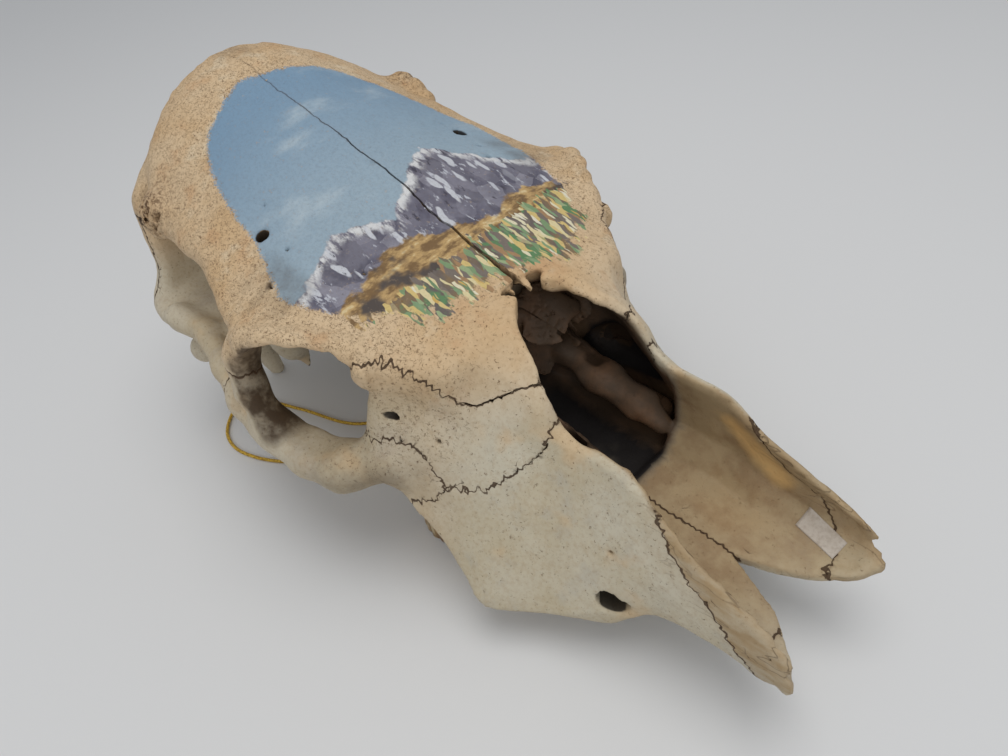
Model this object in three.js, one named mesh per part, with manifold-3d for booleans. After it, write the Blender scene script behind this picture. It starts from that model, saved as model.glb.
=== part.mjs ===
// Skull of a polled cow without its lower jaw and nasal bones, standing on its teeth.
// Millimetres. X runs from the poll to the muzzle, Y to the animal's left, Z up from the table.
import * as THREE from 'three';
import { edgeTable, triTable } from 'three/addons/objects/MarchingCubes.js';
import { mergeVertices } from 'three/addons/utils/BufferGeometryUtils.js';
import Module from 'manifold-3d';

const wasm = await Module();
wasm.setup();

// Driving sizes

const MUZZLE_X = 439; // broken tips of the incisive bones
const POLL_X = -17; // back of the poll
const AXIS_Z = 95; // height of the skull's long axis, from which the sutures fan out
const ORBIT = { x: 194, y: 104, z: 121.5, rx: 32.5, ry: 66, rz: 34 };
const CHEEK_TEETH = 5; // on each side, the first socket is empty
const SUTURE = 0.36; // gap between neighbouring bones
const CORD_DIAMETER = 2.4;
const CELL = 3.1; // size of the cubes that the bone surface is taken from
const FACETS = 8800; // triangles of the whole skull before it is parted into bones
const FRAME_SHIFT = -204.7; // moves the middle of the length to the origin

// Profiles along the length, each a list of [x, value]

const MIDLINE_HEIGHT = [[-22, 216], [-10, 218], [9, 218.5], [56, 207], [95, 199], [135, 188],
  [170, 178], [194, 168], [243, 154], [300, 142]];
const SIDE_DROP = [[-20, 74], [0, 58], [25, 49], [45, 44], [87, 36], [104, 33], [128, 30],
  [150, 26], [170, 20], [186, 13], [200, 9], [215, 10], [230, 12], [250, 14]];
const ROOF_HALF_WIDTH = [[-18, 0], [-17, 26], [-14, 42], [-8, 54], [0, 63], [12, 75], [25, 85],
  [40, 93], [60, 98], [82, 99], [104, 100], [123, 105], [135, 109], [150, 113], [170, 116],
  [186, 113], [195, 108], [206, 100], [214, 94], [223, 89], [232, 84], [245, 76], [266, 60]];
const BRAINCASE_HALF_WIDTH = [[0, 56], [40, 66], [80, 64], [120, 48], [160, 42], [215, 46]];
const BRAINCASE_FLOOR = [[0, 74], [40, 62], [90, 64], [130, 74], [215, 78]];
const NUCHAL_HALF_WIDTH = [[40, 60], [55, 74], [72, 92], [84, 106], [92, 109], [100, 106],
  [124, 97], [150, 95], [170, 92], [200, 70]];
const NUCHAL_FACE = [[40, 14], [80, 6], [120, 4], [170, 0], [205, -14]];
const INCISIVE_GAP = [[376, -3], [383, 0], [400, 7], [413, 13], [426, 24], [437, 37], [445, 48]];

// Half sections of the face, from the midline above to the midline below.
// Each row is x, then nine corners: roof, shoulder, upper and middle side, facial crest,
// under the crest, outer and inner edge of the tooth sockets, and the palate.
const FACE = [
  [205, 0, 158, 40, 158, 70, 152, 80, 138, 80, 112, 76, 80, 72, 62, 72, 30, 48, 28, 38, 43, 0, 43],
  [225, 0, 154, 40, 154, 67, 151, 78, 142, 85, 122, 91, 98, 76, 64, 73, 28, 48, 26, 37, 43, 0, 43],
  [245, 0, 151, 30, 150, 53, 146, 65, 131, 79, 107, 90, 66, 80, 54, 72, 25, 47, 24, 36, 42, 0, 43],
  [265, 0, 149, 22, 149, 47, 141, 58, 123, 73, 95, 89, 50, 80, 42, 71, 22, 46, 22, 35, 42, 0, 43],
  [283, 0, 144, 28, 143, 40, 134, 50, 116, 67, 86, 91, 36, 82, 28, 70, 21, 45, 21, 34, 42, 0, 43],
  [298, 0, 131, 34, 130, 40, 124, 49, 103, 62, 82, 94, 28, 84, 20, 70, 21, 44, 21, 33, 42, 0, 43],
  [307, 0, 116, 36, 116, 40, 112, 49, 93, 61, 75, 89, 26, 82, 19, 68, 21, 43, 21, 32, 42, 0, 43],
  [320, 0, 112, 35, 112, 38, 110, 47, 90, 58, 68, 79, 26, 74, 20, 66, 21, 42, 21, 31, 42, 0, 43],
  [340, 0, 113, 34, 113, 37, 110, 44, 90, 54, 66, 68, 32, 65, 25, 60, 22, 40, 22, 29, 42, 0, 43],
  [352, 0, 110, 35, 110, 38, 107, 44, 88, 52, 66, 60, 38, 59, 28, 56, 23, 38, 24, 28, 42, 0, 43],
  [360, 0, 104, 36, 104, 38, 101, 43, 84, 50, 66, 54, 44, 53, 34, 50, 29, 37, 31, 27, 41, 0, 43],
  [371, 0, 96, 37, 96, 39, 93, 43, 80, 47, 66, 48, 48, 46, 39, 42, 37, 34, 38, 24, 41, 0, 43],
  [390, 0, 86, 38, 86, 40, 84, 44, 74, 46, 62, 46, 50, 43, 42, 38, 40, 28, 41, 16, 42, 0, 43],
  [410, 0, 79, 38, 79, 41, 77, 44, 68, 45, 58, 44, 49, 41, 42, 34, 41, 26, 42, 18, 43, 0, 43],
  [425, 0, 71, 39, 71, 41, 69, 43, 62, 43, 54, 42, 44, 40, 39, 36, 40, 30, 42, 22, 43, 0, 43],
  [440, 0, 58, 40, 58, 41, 57, 42, 55, 42, 52, 42, 48, 40, 45, 38, 45, 34, 45, 28, 45, 0, 45],
];
// Half sections of the nasal cavity, with the wide sinus behind x 316 and the smooth vestibule
// before it. Each row is x, then seven corners from the open top to the nasal floor.
const CAVITY = [
  [228, 0, 140, 16, 138, 28, 130, 38, 112, 40, 80, 30, 62, 0, 58],
  [246, 0, 170, 1, 150, 28, 138, 46, 116, 50, 80, 42, 54, 0, 50],
  [256, 0, 190, 8, 190, 9, 146, 44, 128, 60, 92, 56, 52, 0, 49],
  [267, 0, 190, 19, 190, 19, 144, 42, 128, 64, 84, 60, 50, 0, 48],
  [283, 0, 190, 26, 190, 26, 138, 40, 118, 60, 76, 60, 49, 0, 48],
  [298, 0, 190, 32, 190, 32, 124, 42, 100, 56, 72, 60, 49, 0, 48],
  [313, 0, 190, 33, 190, 33, 108, 43, 86, 52, 64, 54, 49, 0, 48],
  [318, 0, 190, 32, 190, 32, 108, 37, 88, 38, 70, 26, 54, 0, 50],
  [334, 0, 190, 31, 190, 31, 108, 37, 88, 39, 70, 28, 54, 0, 50.5],
  [352, 0, 190, 33, 190, 33, 105, 38, 86, 40, 68, 30, 53, 0, 50.5],
  [371, 0, 190, 35, 190, 35, 92, 39, 78, 39, 64, 28, 51, 0, 50.5],
  [390, 0, 190, 36, 190, 36, 84, 40, 72, 40, 60, 30, 50, 0, 49],
  [410, 0, 190, 36, 190, 36, 77, 41, 67, 40, 58, 30, 49, 0, 49],
  [425, 0, 190, 37, 190, 37, 70, 40, 62, 39, 55, 32, 48, 0, 48],
  [445, 0, 190, 38, 190, 38, 57, 39, 55, 39, 52, 36, 48, 0, 48],
];

// Smooth curve through the knots of a profile
function profile(knots, column = 1) {
  const n = knots.length;
  const slope = [];
  for (let i = 0; i < n - 1; i++) {
    slope.push((knots[i + 1][column] - knots[i][column]) / (knots[i + 1][0] - knots[i][0]));
  }
  const tangent = [slope[0]];
  for (let i = 1; i < n - 1; i++) {
    const a = slope[i - 1];
    const b = slope[i];
    tangent.push(a * b <= 0 ? 0 : (2 * a * b) / (a + b));
  }
  tangent.push(slope[n - 2]);
  return (at) => {
    const x = Math.min(Math.max(at, knots[0][0]), knots[n - 1][0]);
    let i = 0;
    while (i < n - 2 && x >= knots[i + 1][0]) i++;
    const h = knots[i + 1][0] - knots[i][0];
    const t = (x - knots[i][0]) / h;
    const u = 1 - t;
    return (1 + 2 * t) * u * u * knots[i][column] + t * u * u * h * tangent[i]
      + t * t * (3 - 2 * t) * knots[i + 1][column] - t * t * u * h * tangent[i + 1];
  };
}

// Blends of two depths: below zero is inside the bone
function join(a, b, k) {
  const h = Math.max(k - Math.abs(a - b), 0) / k;
  return Math.min(a, b) - h * h * k * 0.25;
}
function meet(a, b, k) {
  return -join(-a, -b, k);
}
function egg(x, y, z, [cx, cy, cz], [rx, ry, rz]) {
  const a = (x - cx) / rx;
  const b = (y - cy) / ry;
  const c = (z - cz) / rz;
  const d = Math.hypot(a, b, c);
  return (d * (d - 1)) / (Math.hypot(a / rx, b / ry, c / rz) + 1e-9);
}
function rod(x, y, z, a, b, squash = 1) {
  const d = [b[0] - a[0], b[1] - a[1], b[2] - a[2]];
  const long = d[0] * d[0] + d[1] * d[1] + d[2] * d[2];
  const s = ((x - a[0]) * d[0] + (y - a[1]) * d[1] + (z - a[2]) * d[2]) / long;
  const t = Math.min(Math.max(s, 0), 1);
  const near = Math.hypot(x - a[0] - t * d[0], y - a[1] - t * d[1], (z - a[2] - t * d[2]) / squash);
  return near - (a[3] + (b[3] - a[3]) * t);
}
function chain(x, y, z, stops, k = 6, squash = 1) {
  let f = rod(x, y, z, stops[0], stops[1], squash);
  for (let i = 1; i < stops.length - 1; i++) f = join(f, rod(x, y, z, stops[i], stops[i + 1], squash), k);
  return f;
}

// Depth inside a half section that changes along x
function loft(rows) {
  const corners = (rows[0].length - 1) / 2;
  const curves = [];
  for (let i = 0; i < corners; i++) curves.push([profile(rows, 1 + 2 * i), profile(rows, 2 + 2 * i)]);
  return (x) => {
    const p = curves.map(([fy, fz]) => [fy(x), fz(x)]);
    return (y, z) => {
      let near = 1e9;
      let inside = false;
      for (let i = 0; i < corners; i++) {
        const [ay, az] = p[i];
        const [by, bz] = p[(i + 1) % corners];
        const ey = by - ay;
        const ez = bz - az;
        if (i < corners - 1) {
          const s = ((y - ay) * ey + (z - az) * ez) / (ey * ey + ez * ez + 1e-9);
          const t = Math.min(Math.max(s, 0), 1);
          near = Math.min(near, (y - ay - t * ey) ** 2 + (z - az - t * ez) ** 2);
        }
        if (az > z !== bz > z && y < (ey * (z - az)) / ez + ay) inside = !inside;
      }
      return inside ? -Math.sqrt(near) : Math.sqrt(near);
    };
  };
}

const midlineHeight = profile(MIDLINE_HEIGHT);
const sideDrop = profile(SIDE_DROP);
const roofHalfWidth = profile(ROOF_HALF_WIDTH);
const braincaseHalfWidth = profile(BRAINCASE_HALF_WIDTH);
const braincaseFloor = profile(BRAINCASE_FLOOR);
const nuchalHalfWidth = profile(NUCHAL_HALF_WIDTH);
const nuchalFace = profile(NUCHAL_FACE);
const incisiveGap = profile(INCISIVE_GAP);
const rootHalfWidth = profile([[10, 108], [30, 114], [45, 111], [60, 104], [80, 100], [100, 80]]);
const plateY = profile([[120, 24], [160, 26], [215, 36]]);
const plateFoot = profile([[118, 60], [140, 34], [152, 22], [165, 30], [215, 40]]);
const baseHalfWidth = profile([[0, 22], [40, 16], [70, 14], [130, 17]]);
const baseFoot = profile([[0, 52], [60, 52], [130, 60]]);
const fossaInner = profile([[95, 60], [150, 48], [210, 66]]);
const fossaOuter = profile([[95, 96], [140, 104], [170, 100], [205, 92]]);
const face = loft(FACE);
const cavity = loft(CAVITY);

// Depth of one point in the bone, with y counted from the midline
function skullAt(x) {
  const faceAt = face(x);
  const cavityAt = cavity(x);
  const height = midlineHeight(x);
  const drop = sideDrop(x);
  const roofWidth = roofHalfWidth(x);
  const brainWidth = braincaseHalfWidth(x);
  const brainFloor = braincaseFloor(x);
  return (y, z) => {
    // forehead
    const top = height - drop * (y / 100) ** 1.7;
    const thick = 24 - 13 * Math.min(Math.max((y - 55) / 45, 0), 1);
    let f = meet(meet((z - top) * 0.93, top - thick - z, 7),
      meet((y - roofWidth) * 0.93, Math.max(POLL_X - x, x - 264), 4), 9);
    f = join(f, egg(x, y, z, [44, 90, 164], [15, 11, 13]), 8);
    // braincase
    const brain = meet(meet(y - brainWidth, brainFloor - z, 22),
      meet(z - (top - 8), Math.max(2 - x, x - 222), 6), 10);
    f = join(f, brain, 14);
    // back of the skull and the crest at its sides
    const back = meet(meet((y - nuchalHalfWidth(z)) * 0.95,
      Math.max(nuchalFace(z) - x, x - nuchalFace(z) - 17), 7), meet(46 - z, z - (top - 4), 6), 7);
    f = join(f, back, 8);
    // root of the zygomatic arch, joint knob and ear opening
    const root = meet(meet(y - rootHalfWidth(x), Math.max(12 - x, x - 96), 8),
      meet(z - 104 + 0.06 * (y - 60), 90 - z, 5), 6);
    f = join(f, root, 9);
    f = join(f, egg(x, y, z, [86, 78, 92], [14, 24, 11]), 8);
    f = join(f, chain(x, y, z, [[26, 72, 64, 15], [26, 96, 57, 10]]), 8);
    f = join(f, egg(x, y, z, [46, 46, 46], [18, 14, 20]), 6);
    f = join(f, chain(x, y, z, [[46, 44, 34, 7], [57, 41, 18, 1.5]]), 4);
    // zygomatic arch and the ring round the eye
    f = join(f, chain(x, y, z, [[44, 106, 99, 8], [75, 103, 99, 7], [110, 110, 96, 7.5],
      [140, 116, 92, 9], [170, 115, 84, 11]], 6, 1.15), 7);
    f = join(f, chain(x, y, z, [[160, 114, 84, 9], [190, 109, 78, 12], [212, 103, 79, 12.5],
      [234, 85, 83, 10]], 10), 8);
    f = join(f, chain(x, y, z, [[168, 116, 92, 8], [160, 116, 112, 8], [157, 113, 132, 9]]), 8);
    f = join(f, chain(x, y, z, [[158, 110, 137, 8], [170, 111, 148, 6], [185, 108, 154, 5],
      [198, 101, 155, 5], [209, 93, 153, 5], [220, 85, 150, 5], [229, 77, 145, 6.5]], 5), 6);
    // face
    f = join(f, meet(faceAt(y, z), Math.max(207 - x, x - MUZZLE_X), 5), 12);
    // pterygoid plates and the base
    f = join(f, meet(meet(Math.abs(y - plateY(x)) - 3.5, Math.max(118 - x, x - 215), 4),
      meet(plateFoot(x) - z, z - 85, 4), 3), 5);
    f = join(f, meet(meet(y - baseHalfWidth(x), Math.max(-x, x - 150), 5),
      meet(baseFoot(x) - z, z - 80, 5), 5), 8);
    // neck joints and the processes beside them
    f = join(f, egg(x, y, z, [-9, 25, 70], [20, 16, 20]), 6);
    f = join(f, chain(x, y, z, [[12, 60, 62, 12], [12, 57, 30, 9], [16, 53, 3.4, 6]]), 8);
    // eye sockets and the spaces behind and below them
    const socket = egg(x + (96 - y) * 0.2, y, z, [ORBIT.x, ORBIT.y, ORBIT.z],
      [ORBIT.rx, ORBIT.ry, ORBIT.rz]);
    f = meet(f, -socket, 4);
    f = meet(f, -egg(x, y, z, [207, 92, 134], [20, 40, 20]), 4);
    const fossa = meet(meet(meet(fossaInner(x) - y, Math.max(100 - x, x - 206), 14), z - 118, 14),
      y - fossaOuter(x), 8);
    f = meet(f, -fossa, 4);
    // nasal cavity, gap between the incisive bones, neck opening and the throat
    f = meet(f, -meet(cavityAt(y, z), Math.max(226 - x, x - 460), 3), 2);
    f = meet(f, -meet(y - incisiveGap(x), 377 - x, 2), 2);
    f = meet(f, -rod(x, y, z, [-40, 0, 93, 18], [24, 0, 92, 14]), 3);
    f = meet(f, -meet(meet(y - 21, Math.max(132 - x, x - 222), 3), meet(z - 68, 10 - z, 6), 6), 3);
    // holes for nerves and vessels
    f = meet(f, -rod(x, y, z, [363, 64, 42, 5], [343, 46, 45, 5.5]), 2);
    f = meet(f, -rod(x, y, z, [133, 71, 181, 4.2], [129, 68, 158, 3]), 2);
    f = meet(f, -rod(x, y, z, [234, 92, 115, 2.6], [248, 72, 112, 2.4]), 1);
    return f;
  };
}

// Surface of the bone, taken cube by cube and mirrored at the midline
function boneSurface(cell) {
  const x0 = -46;
  const z0 = -5;
  const nx = Math.ceil((MUZZLE_X + 8 - x0) / cell) + 1;
  const ny = Math.ceil(134 / cell) + 1;
  const nz = Math.ceil(232 / cell) + 1;
  const wide = 2 * ny - 1;
  const depth = new Float64Array(nx * wide * nz);
  const at = (i, j, k) => (i * wide + j) * nz + k;
  for (let i = 0; i < nx; i++) {
    const column = skullAt(x0 + i * cell);
    for (let j = 0; j < ny; j++) {
      for (let k = 0; k < nz; k++) {
        let d = column(j * cell, z0 + k * cell);
        if (Math.abs(d) < 0.02 * cell) d = d < 0 ? -0.02 * cell : 0.02 * cell;
        depth[at(i, ny - 1 + j, k)] = d;
        depth[at(i, ny - 1 - j, k)] = d;
      }
    }
  }
  const corner = [[0, 0, 0], [1, 0, 0], [1, 1, 0], [0, 1, 0], [0, 0, 1], [1, 0, 1], [1, 1, 1], [0, 1, 1]];
  const edge = [[0, 1], [1, 2], [2, 3], [3, 0], [4, 5], [5, 6], [6, 7], [7, 4],
    [0, 4], [1, 5], [2, 6], [3, 7]];
  const edgeAxis = [0, 1, 0, 1, 0, 1, 0, 1, 2, 2, 2, 2];
  const points = [];
  const known = new Map();
  const faces = [];
  const d = new Float64Array(8);
  const id = new Float64Array(8);
  for (let i = 0; i < nx - 1; i++) {
    for (let j = 0; j < wide - 1; j++) {
      for (let k = 0; k < nz - 1; k++) {
        let kind = 0;
        for (let c = 0; c < 8; c++) {
          id[c] = at(i + corner[c][0], j + corner[c][1], k + corner[c][2]);
          d[c] = depth[id[c]];
          if (d[c] < 0) kind |= 1 << c;
        }
        if (edgeTable[kind] === 0) continue;
        const vertex = (e) => {
          const [a, b] = edge[e];
          const key = Math.min(id[a], id[b]) * 4 + edgeAxis[e];
          let v = known.get(key);
          if (v === undefined) {
            const t = Math.min(Math.max(d[a] / (d[a] - d[b]), 0.04), 0.96);
            v = points.length / 3;
            points.push(x0 + (i + corner[a][0] + t * (corner[b][0] - corner[a][0])) * cell,
              (j - ny + 1 + corner[a][1] + t * (corner[b][1] - corner[a][1])) * cell,
              z0 + (k + corner[a][2] + t * (corner[b][2] - corner[a][2])) * cell);
            known.set(key, v);
          }
          return v;
        };
        for (let t = kind * 16; triTable[t] !== -1; t += 3) {
          faces.push(vertex(triTable[t]), vertex(triTable[t + 2]), vertex(triTable[t + 1]));
        }
      }
    }
  }
  return { points, faces };
}

// Fewer, larger triangles where the bone is smooth: the cheapest edges are closed up first
function simplify({ points, faces }, target) {
  const p = Float64Array.from(points);
  const tri = Int32Array.from(faces);
  const count = p.length / 3;
  const quadric = new Float64Array(count * 10);
  const fan = Array.from({ length: count }, () => new Set());
  const alive = new Uint8Array(tri.length / 3).fill(1);
  const stamp = new Int32Array(count);
  const normal = (a, b, c) => {
    const ux = p[b * 3] - p[a * 3];
    const uy = p[b * 3 + 1] - p[a * 3 + 1];
    const uz = p[b * 3 + 2] - p[a * 3 + 2];
    const vx = p[c * 3] - p[a * 3];
    const vy = p[c * 3 + 1] - p[a * 3 + 1];
    const vz = p[c * 3 + 2] - p[a * 3 + 2];
    return [uy * vz - uz * vy, uz * vx - ux * vz, ux * vy - uy * vx];
  };
  for (let t = 0; t < alive.length; t++) {
    const [a, b, c] = [tri[t * 3], tri[t * 3 + 1], tri[t * 3 + 2]];
    const n = normal(a, b, c);
    const area = Math.hypot(...n) || 1e-12;
    const [x, y, z] = n.map((v) => v / area);
    const w = -(x * p[a * 3] + y * p[a * 3 + 1] + z * p[a * 3 + 2]);
    const q = [x * x, x * y, x * z, x * w, y * y, y * z, y * w, z * z, z * w, w * w];
    for (const v of [a, b, c]) {
      fan[v].add(t);
      for (let m = 0; m < 10; m++) quadric[v * 10 + m] += q[m] * area;
    }
  }
  const cost = (q, x, y, z) => q[0] * x * x + 2 * q[1] * x * y + 2 * q[2] * x * z + 2 * q[3] * x
    + q[4] * y * y + 2 * q[5] * y * z + 2 * q[6] * y + q[7] * z * z + 2 * q[8] * z + q[9];
  function place(a, b) {
    const q = [];
    for (let m = 0; m < 10; m++) q.push(quadric[a * 10 + m] + quadric[b * 10 + m]);
    const det = q[0] * (q[4] * q[7] - q[5] * q[5]) - q[1] * (q[1] * q[7] - q[5] * q[2])
      + q[2] * (q[1] * q[5] - q[4] * q[2]);
    const mid = [0, 1, 2].map((m) => (p[a * 3 + m] + p[b * 3 + m]) / 2);
    const length = Math.hypot(p[a * 3] - p[b * 3], p[a * 3 + 1] - p[b * 3 + 1],
      p[a * 3 + 2] - p[b * 3 + 2]);
    let best = [cost(q, ...mid), ...mid];
    if (Math.abs(det) > 1e-3) {
      const x = -(q[3] * (q[4] * q[7] - q[5] * q[5]) - q[1] * (q[6] * q[7] - q[5] * q[8])
        + q[2] * (q[6] * q[5] - q[4] * q[8])) / det;
      const y = -(q[0] * (q[6] * q[7] - q[8] * q[5]) - q[3] * (q[1] * q[7] - q[5] * q[2])
        + q[2] * (q[1] * q[8] - q[6] * q[2])) / det;
      const z = -(q[0] * (q[4] * q[8] - q[5] * q[6]) - q[1] * (q[1] * q[8] - q[6] * q[2])
        + q[3] * (q[1] * q[5] - q[4] * q[2])) / det;
      if (Math.hypot(x - mid[0], y - mid[1], z - mid[2]) < length) {
        const c = cost(q, x, y, z);
        if (c < best[0]) best = [c, x, y, z];
      }
    }
    best[0] = Math.max(best[0], 0) + 1e-4 * length * length;
    return best;
  }
  const heap = [];
  function push(item) {
    let i = heap.push(item) - 1;
    while (i > 0) {
      const up = (i - 1) >> 1;
      if (heap[up].c <= item.c) break;
      heap[i] = heap[up];
      i = up;
    }
    heap[i] = item;
  }
  function pop() {
    const first = heap[0];
    const last = heap.pop();
    const n = heap.length;
    if (n > 0) {
      let i = 0;
      for (;;) {
        let down = 2 * i + 1;
        if (down >= n) break;
        if (down + 1 < n && heap[down + 1].c < heap[down].c) down++;
        if (heap[down].c >= last.c) break;
        heap[i] = heap[down];
        i = down;
      }
      heap[i] = last;
    }
    return first;
  }
  function offer(a, b) {
    const [c, x, y, z] = place(a, b);
    push({ c, a, b, x, y, z, sa: stamp[a], sb: stamp[b] });
  }
  function ring(v) {
    const near = new Set();
    for (const t of fan[v]) for (let m = 0; m < 3; m++) near.add(tri[t * 3 + m]);
    near.delete(v);
    return near;
  }
  for (let t = 0; t < alive.length; t++) {
    for (let m = 0; m < 3; m++) {
      const a = tri[t * 3 + m];
      const b = tri[t * 3 + ((m + 1) % 3)];
      if (a < b) offer(a, b);
    }
  }
  let left = alive.length;
  while (left > target && heap.length) {
    const { a, b, x, y, z, sa, sb } = pop();
    if (stamp[a] !== sa || stamp[b] !== sb) continue;
    const ra = ring(a);
    const rb = ring(b);
    let shared = 0;
    for (const v of ra) if (rb.has(v)) shared++;
    if (shared !== 2) continue;
    let fine = true;
    for (const v of [a, b]) {
      const was = [p[v * 3], p[v * 3 + 1], p[v * 3 + 2]];
      for (const t of fan[v]) {
        const [i, j, k] = [tri[t * 3], tri[t * 3 + 1], tri[t * 3 + 2]];
        if ((i === a || j === a || k === a) && (i === b || j === b || k === b)) continue;
        const n = normal(i, j, k);
        p[v * 3] = x;
        p[v * 3 + 1] = y;
        p[v * 3 + 2] = z;
        const m = normal(i, j, k);
        [p[v * 3], p[v * 3 + 1], p[v * 3 + 2]] = was;
        const size = Math.hypot(...m);
        if (n[0] * m[0] + n[1] * m[1] + n[2] * m[2] < 0.3 * Math.hypot(...n) * size || size < 0.05) {
          fine = false;
          break;
        }
      }
      if (!fine) break;
    }
    if (!fine) continue;
    [p[a * 3], p[a * 3 + 1], p[a * 3 + 2]] = [x, y, z];
    for (let m = 0; m < 10; m++) quadric[a * 10 + m] += quadric[b * 10 + m];
    for (const t of fan[b]) {
      const has = tri[t * 3] === a || tri[t * 3 + 1] === a || tri[t * 3 + 2] === a;
      if (has) {
        alive[t] = 0;
        left--;
        for (let m = 0; m < 3; m++) fan[tri[t * 3 + m]].delete(t);
      } else {
        for (let m = 0; m < 3; m++) if (tri[t * 3 + m] === b) tri[t * 3 + m] = a;
        fan[a].add(t);
      }
    }
    fan[b].clear();
    stamp[b] = -1;
    stamp[a]++;
    for (const v of ring(a)) offer(Math.min(a, v), Math.max(a, v));
  }
  const index = [];
  for (let t = 0; t < alive.length; t++) {
    if (alive[t]) index.push(tri[t * 3], tri[t * 3 + 1], tri[t * 3 + 2]);
  }
  const g = new THREE.BufferGeometry();
  g.setAttribute('position', new THREE.Float32BufferAttribute(p, 3));
  g.setIndex(index);
  return g;
}

// Closed geometry to solid and back
function solid(geometry) {
  const g = geometry.clone();
  g.deleteAttribute('normal');
  g.deleteAttribute('uv');
  const merged = mergeVertices(g.index ? g.toNonIndexed() : g, 1e-4);
  return new wasm.Manifold(new wasm.Mesh({
    numProp: 3,
    vertProperties: new Float32Array(merged.attributes.position.array),
    triVerts: new Uint32Array(merged.index.array),
  }));
}
function geometryOf(body) {
  const mesh = body.getMesh();
  const g = new THREE.BufferGeometry();
  const xyz = new Float32Array(mesh.numVert * 3);
  for (let v = 0; v < mesh.numVert; v++) {
    for (let m = 0; m < 3; m++) xyz[v * 3 + m] = mesh.vertProperties[v * mesh.numProp + m];
  }
  g.setAttribute('position', new THREE.BufferAttribute(xyz, 3));
  g.setIndex(new THREE.BufferAttribute(new Uint32Array(mesh.triVerts), 1));
  return g;
}
function largest(body) {
  return body.decompose().sort((a, b) => b.volume() - a.volume())[0];
}

// Block between two rays from the long axis: angles in degrees from straight up, on one side
function sector({ side, x0, x1, from, to, inner, outer = 230, grow = 0 }) {
  const steps = Math.max(2, Math.round((x1 - x0) / 12));
  const fans = 4;
  const xyz = [];
  const start = profile(from);
  const end = profile(to);
  const near = profile(inner);
  for (let i = 0; i <= steps; i++) {
    const s = x0 + ((x1 - x0) * i) / steps;
    const x = i === 0 ? s - grow : i === steps ? s + grow : s;
    for (let j = 0; j <= fans; j++) {
      const angle = THREE.MathUtils.degToRad(start(s) + ((end(s) - start(s)) * j) / fans);
      for (const r of [Math.max(near(s) - grow, 1), outer]) {
        const slip = j === 0 ? -grow : j === fans ? grow : 0;
        const y = r * Math.sin(angle) + slip * Math.cos(angle);
        const z = r * Math.cos(angle) - slip * Math.sin(angle);
        xyz.push(x, side * y, AXIS_Z + z);
      }
    }
  }
  const at = (i, j, k) => (i * (fans + 1) + j) * 2 + k;
  const index = [];
  const quad = (a, b, c, d) => {
    if (side > 0) index.push(a, b, c, a, c, d);
    else index.push(a, c, b, a, d, c);
  };
  for (let i = 0; i < steps; i++) {
    for (let j = 0; j < fans; j++) {
      quad(at(i, j, 0), at(i, j + 1, 0), at(i + 1, j + 1, 0), at(i + 1, j, 0));
      quad(at(i, j, 1), at(i + 1, j, 1), at(i + 1, j + 1, 1), at(i, j + 1, 1));
    }
    quad(at(i, 0, 0), at(i + 1, 0, 0), at(i + 1, 0, 1), at(i, 0, 1));
    quad(at(i, fans, 0), at(i, fans, 1), at(i + 1, fans, 1), at(i + 1, fans, 0));
  }
  for (let j = 0; j < fans; j++) {
    quad(at(0, j, 0), at(0, j, 1), at(0, j + 1, 1), at(0, j + 1, 0));
    quad(at(steps, j, 0), at(steps, j + 1, 0), at(steps, j + 1, 1), at(steps, j, 1));
  }
  const g = new THREE.BufferGeometry();
  g.setAttribute('position', new THREE.Float32BufferAttribute(xyz, 3));
  g.setIndex(index);
  return solid(g);
}
function block(x0, x1, y0, y1, z0, z1) {
  const g = new THREE.BoxGeometry(x1 - x0, y1 - y0, z1 - z0);
  g.translate((x0 + x1) / 2, (y0 + y1) / 2, (z0 + z1) / 2);
  return solid(g);
}

// Suture lines, as angles round the long axis
const FRONTAL_EDGE = [[-60, 58], [20, 58], [45, 60], [104, 62], [135, 67], [150, 73], [165, 75],
  [180, 75], [200, 68], [215, 58], [230, 55.7], [252, 57.3], [262, 61], [269, 63], [281, 53],
  [292, 41]];
const LACRIMAL_FOOT = [[208, 88], [226, 86.2], [239, 85.2], [250, 87.8], [258, 95], [264, 101],
  [274, 101], [282, 100], [288, 97.2], [293, 94], [296, 90], [300, 85.4], [303, 78], [305, 66]];
const ZYGOMATIC_TOP = [[128, 70], [150, 72], [165, 74], [185, 76], [208, 88], [226, 86.2],
  [239, 85.2], [250, 87.8], [258, 95], [266, 101]];
const ZYGOMATIC_FOOT = [[128, 135], [190, 128], [212, 119], [225, 115], [248, 109], [264, 104], [266, 102]];
const TEMPORAL_FOOT = [[13, 150], [66, 150], [82, 118], [132, 118]];

// Side outline of the incisive bone, extruded across the skull
function incisiveBlock(side, grow) {
  const line = [[361, 106], [366, 97], [373, 88], [386, 77], [395, 74], [403, 67], [411, 57], [425, 40]];
  const shape = new THREE.Shape();
  shape.moveTo(line[0][0] - grow, 140);
  for (const [x, z] of line) shape.lineTo(x - grow, z - grow);
  shape.lineTo(425 - grow, 20);
  shape.lineTo(470, 20);
  shape.lineTo(470, 140);
  shape.closePath();
  const g = new THREE.ExtrudeGeometry(shape, { depth: 120, bevelEnabled: false });
  g.rotateX(Math.PI / 2);
  g.translate(0, side > 0 ? 120 : 0, 0);
  return solid(g);
}

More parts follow.
